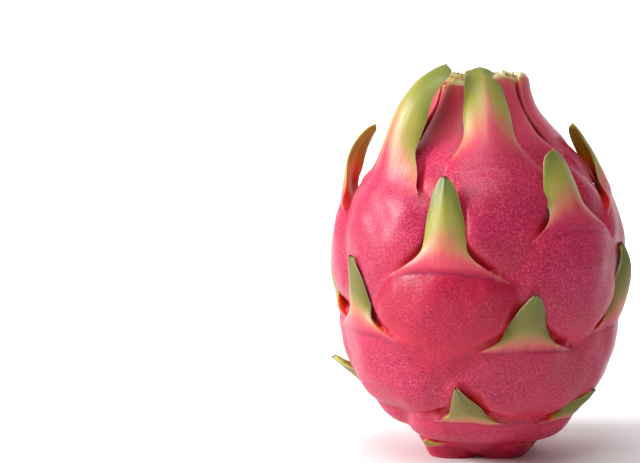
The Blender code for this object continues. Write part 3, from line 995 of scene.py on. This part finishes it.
        sag = roll * (1.0 - np.cos(psi))
        tilt = math.sin(math.radians(form.scale.lean)) * np.maximum(rise, 0.0)

        # Lift of both faces over the middle line
        bow = form.drop * (side / form.wing) ** 2
        on_line = form.root + np.minimum(rise, -bow)
        line_radius, line_height, _ = self.outline.at(on_line)
        line_azimuth = form.azimuth + side / line_radius
        skin = self.relief.height(line_azimuth, on_line, pockets=False)
        skin = skin + self.unevenness(turned(line_radius, line_height, line_azimuth))
        own = form.cushion_height(side, np.zeros_like(side))
        above_line = rise + bow
        lip = np.where(above_line < 0.0, self.root_slope * above_line, 0.0)
        lip = lip + self.lip * smooth(above_line / self.lip_reach) + self.lip * form.pressed
        rib = self.midrib * bell(u / self.rib_width) * smooth((share - 0.35) / 0.4) * free
        keel_width = self.keel_width * mixed(1.0, self.crown_keel, form.crown)
        keel = self.keel_slope * (np.hypot(side, keel_width) - keel_width) * loose
        lift = skin * (1.0 - loose) + own * loose + lip + rib - keel * free
        core = mixed(self.root_thickness, self.tip_thickness, share)
        thick = mixed(self.edge_thickness, core, 1.0 - np.abs(u) ** 2.2) * cap
        rounding = 0.5 * self.edge_thickness * cap * (1.0 - roundness)
        buried = self.root_depth * (fading(up_share, 0.0, self.root_fade) if free else 1.0)
        lift = np.where(outer_face, lift - rounding, lift - thick - buried * roundness + rounding)

        # Places in space, with the twist about the middle line
        out = lift * np.cos(psi)
        along = radius - sag * (1.0 - loose + loose * np.cos(lean)) + out * np.cos(lean)
        level = height - sag * loose * np.sin(lean) + out * np.sin(lean)
        across = (roll + lift) * np.sin(psi)
        twist = math.radians(form.scale.twist) * smooth((share - 0.12) / 0.6)
        along = along + across * np.sin(twist) * np.cos(lean)
        level = level + across * np.sin(twist) * np.sin(lean)
        across = across * np.cos(twist) + tilt
        turn_cos, turn_sin = math.cos(form.azimuth), math.sin(form.azimuth)
        x = along * turn_sin + across * turn_cos
        y = -along * turn_cos + across * turn_sin
        rings = np.stack([x, y, level], axis=-1)
        rings[..., 2] += self.blade_lump_height * self.blade_lumps.at(rings) * share * cap

        # Numbers for the finish
        line_middle, line_width = self.line_place
        line = bell((u - line_middle) / line_width)
        line = self.crown_line * form.crown * line * outer_face * free
        rosy = form.rosy(above_line)
        crest = (skin - self.relief.floor) / (form.bulge - self.relief.floor)
        margin = (1.0 - np.abs(u)) * form.half_width_at(edge) / MM
        # On the crown the tip counts as further off, so the dark towards the tip and the dry point start
        # later: partly the crown scales' own lighter tips, partly painted light against the shadow that
        # the scales in front cast on them.
        past_point = FAR_FROM_TIP if form.at_foot else self.crown_tip_lightening * form.crown * free
        own = {
            "green": np.clip(form.green(share, np.abs(u)) - line, -1.0, 2.0),
            "margin": np.clip(margin, 0.0, 9.0), "tip": edge / MM + past_point,
            "inner": ~outer_face, "crest": np.clip(crest, 0.0, 1.0),
            "rise": np.clip(above_line / MM, -40.0, 60.0), "arch": form.arch(side),
            "grainy": form.grainy(above_line), "rosy": rosy, "dull": form.dull,
            "deeper": form.scale.deeper * (1.0 - rosy), "pressed": form.pressed,
        }
        ends = {"tip": [FAR_FROM_TIP, 0.0], "green": [-1.0, 1.6]}
        marks = {
            name: np.append(values.ravel(), ends.get(name, [values[0, 0], values[-1, 0]]))
            for name, values in all_marks(u.shape, own).items()
        }
        points, triangles = tube(rings)
        run = np.stack([side.ravel(), rise.ravel()], axis=-1) / self.run_unit
        ends_run = np.stack([run[:around].mean(axis=0), run[-around:].mean(axis=0)])
        return Surface(points, triangles[:, ::-1], marks, np.vstack([run, ends_run]))

    def fused(self) -> Object:
        """Join the body and the scales into one body, cut flat where it stands on the ground.

        Returns:
            The joined object.
        """
        fruit = self.body().to_object(self.name)
        blades = bpy.data.collections.new("blades")
        bpy.context.scene.collection.children.link(blades)
        for number, form in enumerate(self.forms):
            blade = self.blade(form).to_object(f"blade_{number}")
            bpy.context.scene.collection.objects.unlink(blade)
            blades.objects.link(blade)
        apply_boolean(fruit, "UNION", collection=blades)
        for blade in list(blades.objects):
            bpy.data.objects.remove(blade)
        bpy.data.collections.remove(blades)
        cutter = self.ground().to_object("ground_cutter")
        apply_boolean(fruit, "DIFFERENCE", other=cutter)
        bpy.data.objects.remove(cutter)
        self.keep_main_body(fruit)
        return fruit

    @staticmethod
    def ground() -> Surface:
        """Make a closed box under the ground plane, with the marks of plain crimson skin.

        Returns:
            The box.
        """
        sides = (-0.1, 0.1)
        points = np.array([(x, y, z) for z in (-0.2, 0.0) for y in sides for x in sides])
        quads = np.array(
            [(0, 2, 3, 1), (4, 5, 7, 6), (0, 1, 5, 4), (1, 3, 7, 5), (3, 2, 6, 7), (2, 0, 4, 6)]
        )
        triangles = np.vstack([quads[:, [0, 1, 2]], quads[:, [0, 2, 3]]])
        own = {"green": -1.0, "margin": 9.0, "tip": FAR_FROM_TIP}
        own |= {"deeper": 0.8, "crest": 0.5, "rise": -9.0}
        return Surface(points, triangles, all_marks((len(points),), own), points[:, :2])

    def keep_main_body(self, obj: Object) -> None:
        """Drop loose scraps and sealed hollows: only the largest shell stays.

        Args:
            obj: the object.
        """
        work = bmesh.new()
        work.from_mesh(obj.data)
        bmesh.ops.remove_doubles(work, verts=work.verts, dist=self.weld)
        waiting = set(work.faces)
        shells = []
        while waiting:
            reached = [waiting.pop()]
            for face in reached:
                for other in [other for edge in face.edges for other in edge.link_faces]:
                    if other in waiting:
                        waiting.remove(other)
                        reached.append(other)
            shells.append(reached)
        shells.sort(key=len)
        for shell in shells[:-1]:
            bmesh.ops.delete(work, geom=shell, context="FACES")
        work.to_mesh(obj.data)
        work.free()

    def softened(self, obj: Object) -> None:
        """Ease the line where each scale leaves its cushion, most on the crown's long scales.

        Each pass moves a point part of the way to the mean of its neighbours. The share is largest
        on the root line and falls to nothing 3 mm from it.

        Args:
            obj: the object.
        """
        mesh = obj.data
        points = values_of(mesh.vertices, "co", np.float32, 3).astype(float)
        ends = values_of(mesh.edges, "vertices", np.int32, 2).T
        rise, inner, margin, pocket = (
            self.point_mark(mesh, mark) for mark in ("rise", "inner", "margin", "pocket")
        )
        weight = bell(rise / self.easing_reach) * (inner < 0.01)
        weight = weight * smooth(margin / self.easing_margin) * (pocket < 0.02)
        start, reach = self.easing_crown
        high = smooth((points[:, 2] - start) / reach)
        weight = (self.easing_share * mixed(*self.easing, high) * weight)[:, None]
        degree = np.bincount(np.concatenate(ends), minlength=len(points))[:, None]
        for _ in range(self.easing_passes):
            total = np.zeros_like(points)
            for axis in range(3):
                for here, there in (ends, ends[::-1]):
                    total[:, axis] += np.bincount(here, points[there, axis], len(points))
            points += weight * (total / degree - points)
        mesh.vertices.foreach_set("co", points.astype(np.float32).ravel())
        mesh.update()

    @staticmethod
    def point_mark(mesh: Mesh, mark: str) -> Array:
        """Give a corner mark's mean at each point of a mesh.

        Args:
            mesh: the mesh.
            mark: the mark's name.

        Returns:
            One number for each point.
        """
        corner = values_of(mesh.loops, "vertex_index", np.int32)
        values = values_of(mesh.attributes[mark].data, "value", np.float32)
        count = len(mesh.vertices)
        return np.bincount(corner, values, count) / np.maximum(np.bincount(corner, minlength=count), 1)

    def build(self, finish: Material) -> Object:
        """Build the skin and put it in the solid fruit's place.

        Args:
            finish: the material.

        Returns:
            The finished object.
        """
        fruit = self.fused()
        self.softened(fruit)
        fruit.data.materials.clear()
        fruit.data.materials.append(finish)
        fruit.data.shade_smooth()
        fruit.data.set_sharp_from_angle(angle=math.radians(50.0))
        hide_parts("fruit")
        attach(fruit, "root")
        return fruit


@dataclass
class FlowerRemnant:
    """The dry remains of the flower in the scar: a torn cup, a dark stub, flakes and threads."""

    name: str = "dry_flower_cup"
    columns: int = 200
    rows: int = 60
    profile: tuple[tuple[float, float], ...] = (
        (0.0, 102.4), (5.3, 103.1), (7.4, 105.6), (8.9, 108.4), (9.2, 109.5), (8.7, 109.6),
        (8.0, 107.8), (6.6, 105.9), (5.0, 107.6), (3.2, 109.7), (1.4, 110.5), (0.0, 110.7),
    )
    edge_place: float = 0.41
    ragged: float = 0.8 * MM
    strips: int = 34
    flakes: float = 0.34
    seed: int = 5

    def cup(self) -> Surface:
        """Make the cup and the stub: the profile turned round the axis, with a torn, folded edge.

        Returns:
            The closed shell, with its age marked.
        """
        place, azimuth, radius, height = turned_profile(self.profile, self.rows, self.columns)
        teeth = 0.5 * np.sin(9 * azimuth + 0.4) + 0.3 * np.sin(14 * azimuth + 2.0)
        teeth = teeth + 0.2 * np.sin(5 * azimuth) + 0.25 * np.sin(31 * azimuth + 1.0)
        at_edge = bell((place - self.edge_place) / 0.09)
        stub = smooth((place - 0.60) / 0.12)
        folds = 0.22 * np.sin(7 * azimuth + 1.0) + 0.10 * np.sin(43 * azimuth)
        rings = turned(radius + folds * MM * at_edge, height + self.ragged * teeth * at_edge, azimuth)
        rings[..., 2] += 0.35 * MM * stub * Lumps(1.6 * MM, 41).at(rings)
        age = np.append((0.35 + 0.65 * stub - 0.3 * at_edge).ravel(), [1.0, 1.0])
        return Surface(*tube(rings, (self.profile[0][1] * MM, self.profile[-1][1] * MM)), {"age": age})

    def strip(self, draw: np.random.Generator) -> Surface:
        """Make one dry strip that stands in the cup: every third a broad flake, the rest threads.

        Its middle line is added up from short steps at a turning angle, its section is an oval, and
        its width falls towards the end.

        Args:
            draw: the source of random numbers.

        Returns:
            The closed shell, with its age marked.
        """
        flake = draw.uniform() < self.flakes
        azimuth = draw.uniform(0.0, FULL_TURN)
        length = draw.uniform(1.8, 3.2 if flake else 4.2) * MM
        half_width = (draw.uniform(0.7, 1.4) if flake else draw.uniform(0.10, 0.20)) * MM
        half_thickness = 0.09 * MM if flake else half_width
        lean = math.radians(draw.uniform(-30.0, 25.0))
        curl = math.radians(draw.uniform(-80.0, 60.0))
        start_radius = draw.uniform(7.4, 9.0) * MM
        start_height = draw.uniform(106.8, 107.8) * MM
        along = np.linspace(0.0, 1.0, 12)[:, None]
        around = np.arange(10) * (FULL_TURN / 10)
        angle = lean + curl * along
        radius = start_radius + np.cumsum(np.sin(angle), axis=0) * length / len(along)
        height = start_height + np.cumsum(np.cos(angle), axis=0) * length / len(along)
        taper = 1.0 - 0.75 * along**2
        wave = 1.0 + 0.18 * np.sin(9.0 * along + azimuth)
        across = half_width * taper * wave * np.cos(around)
        thick = half_thickness * taper * np.sin(around)
        turn = azimuth + across / start_radius + 0.25 * curl * along**2
        rings = turned(radius + thick * np.cos(angle), height - thick * np.sin(angle), turn)
        points, triangles = tube(rings)
        return Surface(points, triangles, {"age": np.full(len(points), draw.uniform(0.0, 0.35))})

    def build(self, finish: Material) -> Object:
        """Build the remains and put them in the solid's place.

        Args:
            finish: the material.

        Returns:
            The finished object.
        """
        draw = np.random.default_rng(self.seed)
        shells = [self.cup()] + [self.strip(draw) for _ in range(self.strips)]
        starts = np.append(0, np.cumsum([len(shell.points) for shell in shells]))
        whole = Surface(
            np.vstack([shell.points for shell in shells]),
            np.vstack([shell.triangles + start for shell, start in zip(shells, starts)]),
            {"age": np.concatenate([shell.marks["age"] for shell in shells])},
        )
        remnant = whole.to_object(self.name)
        remnant.data.materials.append(finish)
        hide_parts("flower_remnant")
        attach(remnant, "root")
        return remnant


@dataclass
class CutStem:
    """The woody end of the stem in the hollow of the foot, cut just clear of the ground."""

    name: str = "cut_stem_end"
    columns: int = 144
    rows: int = 40
    profile: tuple[tuple[float, float], ...] = (
        (0.0, 1.1), (2.2, 0.9), (4.4, 0.45), (5.2, 0.8), (5.4, 1.7), (5.0, 3.0), (0.0, 3.25),
    )
    out_of_round: float = 0.22
    fibres: float = 0.05

    def build(self, finish: Material) -> Object:
        """Build the plug: the profile turned round the axis, out of round and ribbed by fibres.

        Args:
            finish: the material.

        Returns:
            The finished object.
        """
        place, azimuth, radius, height = turned_profile(self.profile, self.rows, self.columns)
        waist = np.sin(math.pi * np.clip(place * 1.2, 0.0, 1.0))
        ribs = self.out_of_round * np.cos(3 * azimuth + 0.5) + self.fibres * np.sin(24 * azimuth)
        rings = turned(radius + MM * waist * ribs, height, azimuth)
        shell = tube(rings, (self.profile[0][1] * MM, self.profile[-1][1] * MM))
        stem = Surface(*shell).to_object(self.name)
        stem.data.materials.append(finish)
        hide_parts("cut_stem")
        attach(stem, "root")
        return stem


def linear(hex_colour: str) -> tuple[float, float, float, float]:
    """Turn an sRGB hex colour such as "#d8305f" to linear red, green, blue and full alpha.

    Args:
        hex_colour: the colour.

    Returns:
        Red, green, blue and alpha.
    """
    parts = [int(hex_colour[place : place + 2], 16) / 255.0 for place in (1, 3, 5)]
    red, green, blue = (c / 12.92 if c <= 0.04045 else ((c + 0.055) / 1.055) ** 2.4 for c in parts)
    return (red, green, blue, 1.0)


def add_node(
    tree: NodeTree, kind: str, inputs: dict[str | int, object] | None = None, stops: Stops = (),
    **settings: object,
) -> Node:
    """Add a node with its settings and what feeds its inputs.

    Args:
        tree: the node tree.
        kind: the node's type name.
        inputs: by an input's name or number, the socket that feeds it, a number or a hex colour.
        stops: the colours of a colour ramp, each a position and a hex colour.
        settings: the node's own properties.

    Returns:
        The node.
    """
    node = tree.nodes.new(kind)
    for name, value in settings.items():
        setattr(node, name, value)
    for name, value in (inputs or {}).items():
        if isinstance(value, NodeSocket):
            tree.links.new(value, node.inputs[name])
        else:
            node.inputs[name].default_value = linear(value) if isinstance(value, str) else value
    for number, (position, colour) in enumerate(stops):
        elements = node.color_ramp.elements
        element = elements[number] if number < len(elements) else elements.new(position)
        element.position = position
        element.color = linear(colour)
    return node


class Finish(ABC):
    """A surface finish: what the real material is, and the nodes that draw it."""

    name: str

    @abstractmethod
    def dress(self, tree: NodeTree, shader: Node) -> None:
        """Add the finish's nodes to the tree and join them to its shader."""

    def build(self) -> Material:
        """Make the material.

        Returns:
            The material.
        """
        made = bpy.data.materials.new(self.name)
        made.use_nodes = True
        self.dress(made.node_tree, made.node_tree.nodes["Principled BSDF"])
        return made


@dataclass(frozen=True)
class WaxySkin(Finish):
    """Living fruit skin under a thin wax: satin, with light that sinks in a little way.

    The cushions are crimson with a fine, worm-like paler marking; as painted light and shade they
    are lighter towards their crests and darker in the valleys between them and in the crease under
    each root line. The free parts of the scales turn from rose through salmon and ochre to olive
    green, with a pale thread along their margins and a dry brown point. Their inner faces are orange
    red, painted brighter as a glow of light through the thin scale; the hollows behind them are a
    painted shaded red, and the angle over each root line is a painted lit scarlet.
    """

    name: str = "waxy_pitaya_skin"
    grain: float = 0.50 * MM
    roughness: float = 0.38
    bump_strength: float = 0.33
    bump_height: float = 0.26 * MM
    light_depth: float = 2.4 * MM
    light_reach: tuple[float, float, float] = (1.0, 0.38, 0.16)
    refraction: float = 1.45

    def dress(self, tree: NodeTree, shader: Node) -> None:
        """Add the skin's colours, gloss and bumps.

        Tables come first: the noises, the numbers worked out from marks and noises, and the layers
        of colour, each laid over the ones before it by its share.

        Args:
            tree: the node tree.
            shader: the shader that the finish ends in.
        """
        place = add_node(tree, "ShaderNodeTexCoord").outputs["Object"]
        run = add_node(tree, "ShaderNodeUVMap", uv_map="run").outputs["UV"]
        values = {"Vector": run, "Scale": (90.0, 7.0, 1.0)}
        stretched = add_node(tree, "ShaderNodeMapping", values).outputs[0]
        parts = {
            mark: add_node(tree, "ShaderNodeAttribute", attribute_name=mark).outputs["Fac"]
            for mark in MARKS
        }

        # Noises: what they follow, the size of their features, detail, roughness and distortion
        noises = {
            "worms": (place, self.grain, 1.0, 0.5, 0.5),
            "pores": (place, 1.5 * self.grain, 3.0, 0.6, 0.0),
            "blotch": (place, 9.0 * MM, 3.0, 0.6, 0.0),
            "streak": (stretched, 1.0, 3.0, 0.5, 0.0),
        }
        for name, (follows, size, detail, roughness, distortion) in noises.items():
            values = {"Scale": 1.0 / size, "Detail": detail, "Roughness": roughness}
            values |= {"Vector": follows, "Distortion": distortion}
            parts[name] = add_node(tree, "ShaderNodeTexNoise", values).outputs[0]

        # Numbers: name, operation and its terms; a range runs from and to two values of its part
        range_inputs = ("Value", "From Min", "From Max", "To Min", "To Max")
        numbers = [
            ("off middle", "SUBTRACT", "worms", 0.5),
            ("thread line", "ABSOLUTE", "off middle"),
            ("rise size", "ABSOLUTE", "rise"),
            # Crest light: the crimson is lighter towards each cushion's crest and darker low down, as
            # painted light and shade of the relief; the blotches are the skin's own uneven tone.
            ("crest light", "MULTIPLY_ADD", "crest", 0.28, 0.08),
            ("shade", "MULTIPLY_ADD", "blotch", 0.55, "crest light"),
            ("streak part", "MULTIPLY_ADD", "streak", 0.34, "green"),
            ("blotch part", "MULTIPLY_ADD", "blotch", 0.34, "streak part"),
            ("turning", "SUBTRACT", "blotch part", 0.34),
            ("turning half", "MULTIPLY", "turning", 0.5),
            ("granule line", "RANGE", "thread line", 0.056, 0.012, 0.0, 0.80),
            ("pit line", "RANGE", "pores", 0.52, 0.34, 0.0, 0.55),
            ("deep part", "RANGE", "rise", -1.0, -5.0, 0.0, 0.45),
            ("above crease", "RANGE", "rosy", 0.0, 1.0, 0.0, 0.75),
            # The crease line raises the groove under each root line as a bump, and the finish also
            # darkens it there as a painted shadow.
            ("crease line", "RANGE", "rise size", 0.60, 0.10, 0.0, 0.50),
            ("dull part", "RANGE", "green", 0.1, 0.8, 0.0, 0.80),
            ("turned", "RANGE", "green", 0.0, 0.7, 0.0, 1.0),
            ("to leaf", "RANGE", "turning", -0.22, 0.16, 0.0, 1.0),
            ("tip part", "RANGE", "tip", 8.5, 1.5, 0.0, 0.62),
            ("margin line", "RANGE", "margin", 0.36, 0.06, 0.0, 0.45),
            ("dry point", "RANGE", "tip", 1.2, 0.4, 0.0, 1.0),
            ("cut end", "RANGE", "tip", 2.2, 1.3, 0.0, 0.9),
            ("leaf part", "RANGE", "green", -0.4, 0.4, 0.15, 1.0),
            ("granules", "MULTIPLY", "granule line", "grainy"),
            ("pits", "MULTIPLY", "pit line", "grainy"),
            ("crease", "MULTIPLY", "crease line", "arch"),
            ("to tip", "MULTIPLY", "tip part", "turned"),
            ("duller", "MULTIPLY", "dull part", "dull"),
            ("pale end", "MULTIPLY", "cut end", "pressed"),
            ("fine worms", "MULTIPLY", "worms", "grainy"),
            ("leaf streaks", "MULTIPLY", "streak", "leaf part"),
            ("gloss", "MULTIPLY_ADD", "pores", 0.20, self.roughness - 0.10),
            ("grain bumps", "MULTIPLY_ADD", "crease", -1.6, "fine worms"),
            ("bumps", "ADD", "grain bumps", "leaf streaks"),
            ("depth", "MULTIPLY_ADD", "inner", 0.35, 0.10),
        ]
        for name, operation, *terms in numbers:
            values = [parts.get(term, term) for term in terms]
            if operation == "RANGE":
                values = dict(zip(range_inputs, values))
                node = add_node(tree, "ShaderNodeMapRange", values, interpolation_type="SMOOTHSTEP")
            else:
                node = add_node(tree, "ShaderNodeMath", dict(enumerate(values)), operation=operation)
            parts[name] = node.outputs[0]

        # Colours that run with a number, as ramps
        ramps = {
            "skin": (
                "shade", ((0.20, "#9c0833"), (0.42, "#b61042"), (0.62, "#c2194b"), (0.85, "#cb2b57"))
            ),
            "leaf": (
                "turning half",
                (
                    (0.00, "#d25a60"), (0.09, "#d2765e"), (0.19, "#c48c5e"), (0.29, "#ad9f50"),
                    (0.42, "#a29d43"), (0.62, "#84893b"),
                ),
            ),
            # The inner faces' own orange red to olive, painted brighter as a glow of light through the
            # thin scale.
            "inner colour and glow": (
                "green", ((0.0, "#d83020"), (0.22, "#ee7a28"), (0.48, "#dcb434"), (0.85, "#a8c03c"))
            ),
        }
        for name, (follows, stops) in ramps.items():
            ramp = add_node(tree, "ShaderNodeValToRGB", {0: parts[follows]}, stops)
            parts[name] = ramp.outputs["Color"]

        # Mixes: the result, the share, and the colours at 0 and at 1; then the layers over the skin
        mixes = [("thread", "turned", "#ec98a4", "#cfc07e"), ("grains", "deeper", "#f2587e", "#ee3663")]
        # Painted light: axil lays a brighter scarlet in the angle over each root line.
        # Painted shade: valley darkens the creases between cushions, crease the groove under each root
        # line, and pocket lays a shaded red in the hollow behind each scale.
        layers = {
            "deep part": "#a8063a", "deeper": "#ac0230", "valley": "#a8052f", "axil": "#cc2040",
            "granules": "grains", "pits": "#8c0432", "above crease": "#dc4c60", "crease": "#8c1040",
            "to leaf": "leaf", "duller": "#756c30", "to tip": "#6e783e", "inner": "inner colour and glow",
            "margin line": "thread", "pocket": "#bc1824", "dry point": "#3b2a1c", "pale end": "#dccf92",
        }
        mixes += [("skin", share, "skin", over) for share, over in layers.items()]
        for name, share, *colours in mixes:
            first, second = (parts.get(colour, colour) for colour in colours)
            values = {0: parts[share], 6: first, 7: second}
            parts[name] = add_node(tree, "ShaderNodeMix", values, data_type="RGBA").outputs[2]

        values = {"Height": parts["bumps"], "Strength": self.bump_strength, "Distance": self.bump_height}
        parts["bump"] = add_node(tree, "ShaderNodeBump", values).outputs[0]
        joined = {
            "Base Color": "skin", "Roughness": "gloss", "Normal": "bump", "Subsurface Weight": "depth",
        }
        for name, part in joined.items():
            tree.links.new(parts[part], shader.inputs[name])
        shader.inputs["Subsurface Radius"].default_value = self.light_reach
        shader.inputs["Subsurface Scale"].default_value = self.light_depth
        shader.inputs["IOR"].default_value = self.refraction


@dataclass(frozen=True)
class Fibrous(Finish):
    """Dead, dry plant tissue: matt fibres that vary the colour and raise the surface.

    A stretch under 1 draws them out along the axis. Where there are old colours, the mark of age
    leads over to them.
    """

    name: str
    fibre: float
    strength: float
    rise: float
    roughness: float
    young: Stops
    old: Stops = ()
    stretch: float = 1.0

    def dress(self, tree: NodeTree, shader: Node) -> None:
        """Add the fibres' colours and bumps.

        Args:
            tree: the node tree.
            shader: the shader that the finish ends in.
        """
        place = add_node(tree, "ShaderNodeTexCoord").outputs["Object"]
        values = {"Vector": place, "Scale": (1.0, 1.0, self.stretch)}
        stretched = add_node(tree, "ShaderNodeMapping", values).outputs[0]
        values = {"Vector": stretched, "Scale": 1.0 / self.fibre, "Detail": 4.0}
        fibres = add_node(tree, "ShaderNodeTexNoise", values).outputs[0]
        colour, *aged = [
            add_node(tree, "ShaderNodeValToRGB", {0: fibres}, stops).outputs["Color"]
            for stops in (self.young, self.old) if stops
        ]
        if aged:
            age = add_node(tree, "ShaderNodeAttribute", attribute_name="age").outputs["Fac"]
            values = {0: age, 6: colour, 7: aged[0]}
            colour = add_node(tree, "ShaderNodeMix", values, data_type="RGBA").outputs[2]
        values = {"Height": fibres, "Strength": self.strength, "Distance": self.rise}
        bump = add_node(tree, "ShaderNodeBump", values).outputs[0]
        tree.links.new(colour, shader.inputs["Base Color"])
        tree.links.new(bump, shader.inputs["Normal"])
        shader.inputs["Roughness"].default_value = self.roughness


@dataclass(frozen=True)
class DryFlower(Fibrous):
    """Dead flower tissue: papery and matt, cream and straw-coloured, grey brown where it is oldest."""

    name: str = "papery_dry_flower"
    fibre: float = 0.5 * MM
    strength: float = 0.7
    rise: float = 0.25 * MM
    roughness: float = 0.85
    young: Stops = ((0.25, "#8a7340"), (0.45, "#c0aa6c"), (0.60, "#dccf9c"), (0.80, "#eee5c6"))
    old: Stops = ((0.25, "#4a443d"), (0.45, "#7d756a"), (0.60, "#9a9287"), (0.80, "#b9b2a8"))
    stretch: float = 0.25


@dataclass(frozen=True)
class CutWood(Fibrous):
    """A stem cut some days ago: corky, fibrous end grain, greyish brown, matt."""

    name: str = "dry_cut_stem_wood"
    fibre: float = 0.35 * MM
    strength: float = 0.8
    rise: float = 0.2 * MM
    roughness: float = 0.8
    young: Stops = ((0.30, "#4a3722"), (0.50, "#7d6440"), (0.70, "#a8905f"))


@dataclass(frozen=True)
class PaleBoard(Finish):
    """The studio floor: matt white painted board."""

    name: str = "matt_white_board"

    def dress(self, tree: NodeTree, shader: Node) -> None:
        """Set the plain white."""
        shader.inputs["Base Color"].default_value = linear("#f6f6f6")
        shader.inputs["Roughness"].default_value = 0.9


@dataclass
class Studio:
    """The pale floor with its curved backdrop, the soft lights, and the photograph's camera."""

    floor_half: float = 4.0
    floor_front: float = -3.0
    floor_back: float = 1.2
    bend: float = 0.5
    wall_top: float = 3.0
    distance: float = 0.65
    elevation: float = math.radians(7.0)
    pixel: float = 0.29 * MM
    image_size: tuple[int, int] = (640, 463)
    fruit_middle: tuple[float, float, float] = (0.0, 0.0, 55.5 * MM)
    fruit_at_pixel: tuple[float, float] = (481.0, 259.6)

    def floor(self, finish: Material) -> Object:
        """Make the floor: flat, then a quarter circle up behind the fruit into a wall.

        Args:
            finish: the material.

        Returns:
            The floor.
        """
        back, bend = self.floor_back, self.bend
        arc = np.linspace(0.0, 0.5 * math.pi, 24)
        y = np.concatenate([[self.floor_front], back + bend * np.sin(arc), [back + bend]])
        z = np.concatenate([[0.0], bend * (1.0 - np.cos(arc)), [self.wall_top]])
        x = np.linspace(-self.floor_half, self.floor_half, 9)
        along, across = np.meshgrid(np.arange(len(y)), x, indexing="ij")
        points = np.stack([across, y[along], z[along]], axis=-1).reshape(-1, 3)
        triangles = grid_triangles(len(x) - 1, len(y) - 1, closed=False)
        board = Surface(points, triangles).to_object("studio_floor")
        board.data.materials.append(finish)
        return board

    @staticmethod
    def hung(name: str, data: Light | Camera, place: Vector, target: Vector) -> Object:
        """Put a lamp or the camera at a place, so that it faces a target.

        Args:
            name: the name that it gets.
            data: the lamp or camera.
            place: where it is.
            target: what it faces.

        Returns:
            The object that holds it.
        """
        holder = bpy.data.objects.new(name, data)
        holder.location = place
        holder.rotation_euler = (target - place).to_track_quat("-Z", "Y").to_euler()
        bpy.context.scene.collection.objects.link(holder)
        return holder

    def lights(self) -> None:
        """Hang the lights: a soft key from the left, a weaker one overhead, and a pale sky."""
        for name, place, target, size, watts in (
            ("key", (-0.71, -0.15, 0.35), (0.0, 0.0, 0.055), 0.30, 6.6),
            ("overhead", (-0.11, -0.30, 0.73), (0.0, 0.0, 0.055), 0.50, 3.0),
            ("backdrop_light", (0.0, 0.5, 0.9), (0.0, 1.5, 0.3), 1.0, 30.0),
        ):
            lamp = bpy.data.lights.new(name, "AREA")
            lamp.size = size
            lamp.energy = watts
            self.hung(name, lamp, Vector(place), Vector(target))
        world = bpy.data.worlds.new("studio_sky")
        world.use_nodes = True
        sky = world.node_tree.nodes["Background"]
        sky.inputs["Color"].default_value = linear("#fbfbff")
        sky.inputs["Strength"].default_value = 0.21
        bpy.context.scene.world = world

    def camera(self) -> None:
        """Set the camera so that the fruit's middle falls where the photograph has it."""
        lens = bpy.data.cameras.new("photo_camera")
        lens.sensor_width = 36.0
        lens.lens = lens.sensor_width * self.distance / (self.pixel * self.image_size[0])
        middle = Vector(self.fruit_middle)
        away = Vector((0.0, -math.cos(self.elevation), math.sin(self.elevation)))
        right = (-away).cross(Vector((0.0, 0.0, 1.0))).normalized()
        up = right.cross(-away)
        across, down = (
            (pixel - 0.5 * size) * self.pixel for pixel, size in zip(self.fruit_at_pixel, self.image_size)
        )
        aim = middle - right * across + up * down
        bpy.context.scene.camera = self.hung("photo_camera", lens, middle + away * self.distance, aim)

    def build(self) -> None:
        """Set up the whole studio, with plain colours as a camera's own profile shows them."""
        self.floor(PaleBoard().build())
        self.lights()
        self.camera()
        bpy.context.scene.view_settings.view_transform = "Standard"


def main() -> None:
    """Build the studio and the fruit, and report each piece."""
    logging.basicConfig(level=logging.INFO, format="%(message)s")
    Studio().build()
    pieces = [
        FruitSkin().build(WaxySkin().build()),
        FlowerRemnant().build(DryFlower().build()),
        CutStem().build(CutWood().build()),
    ]
    for piece in pieces:
        log.info("%s: %d triangles", piece.name, len(piece.data.polygons))


if __name__ == "__main__":
    main()
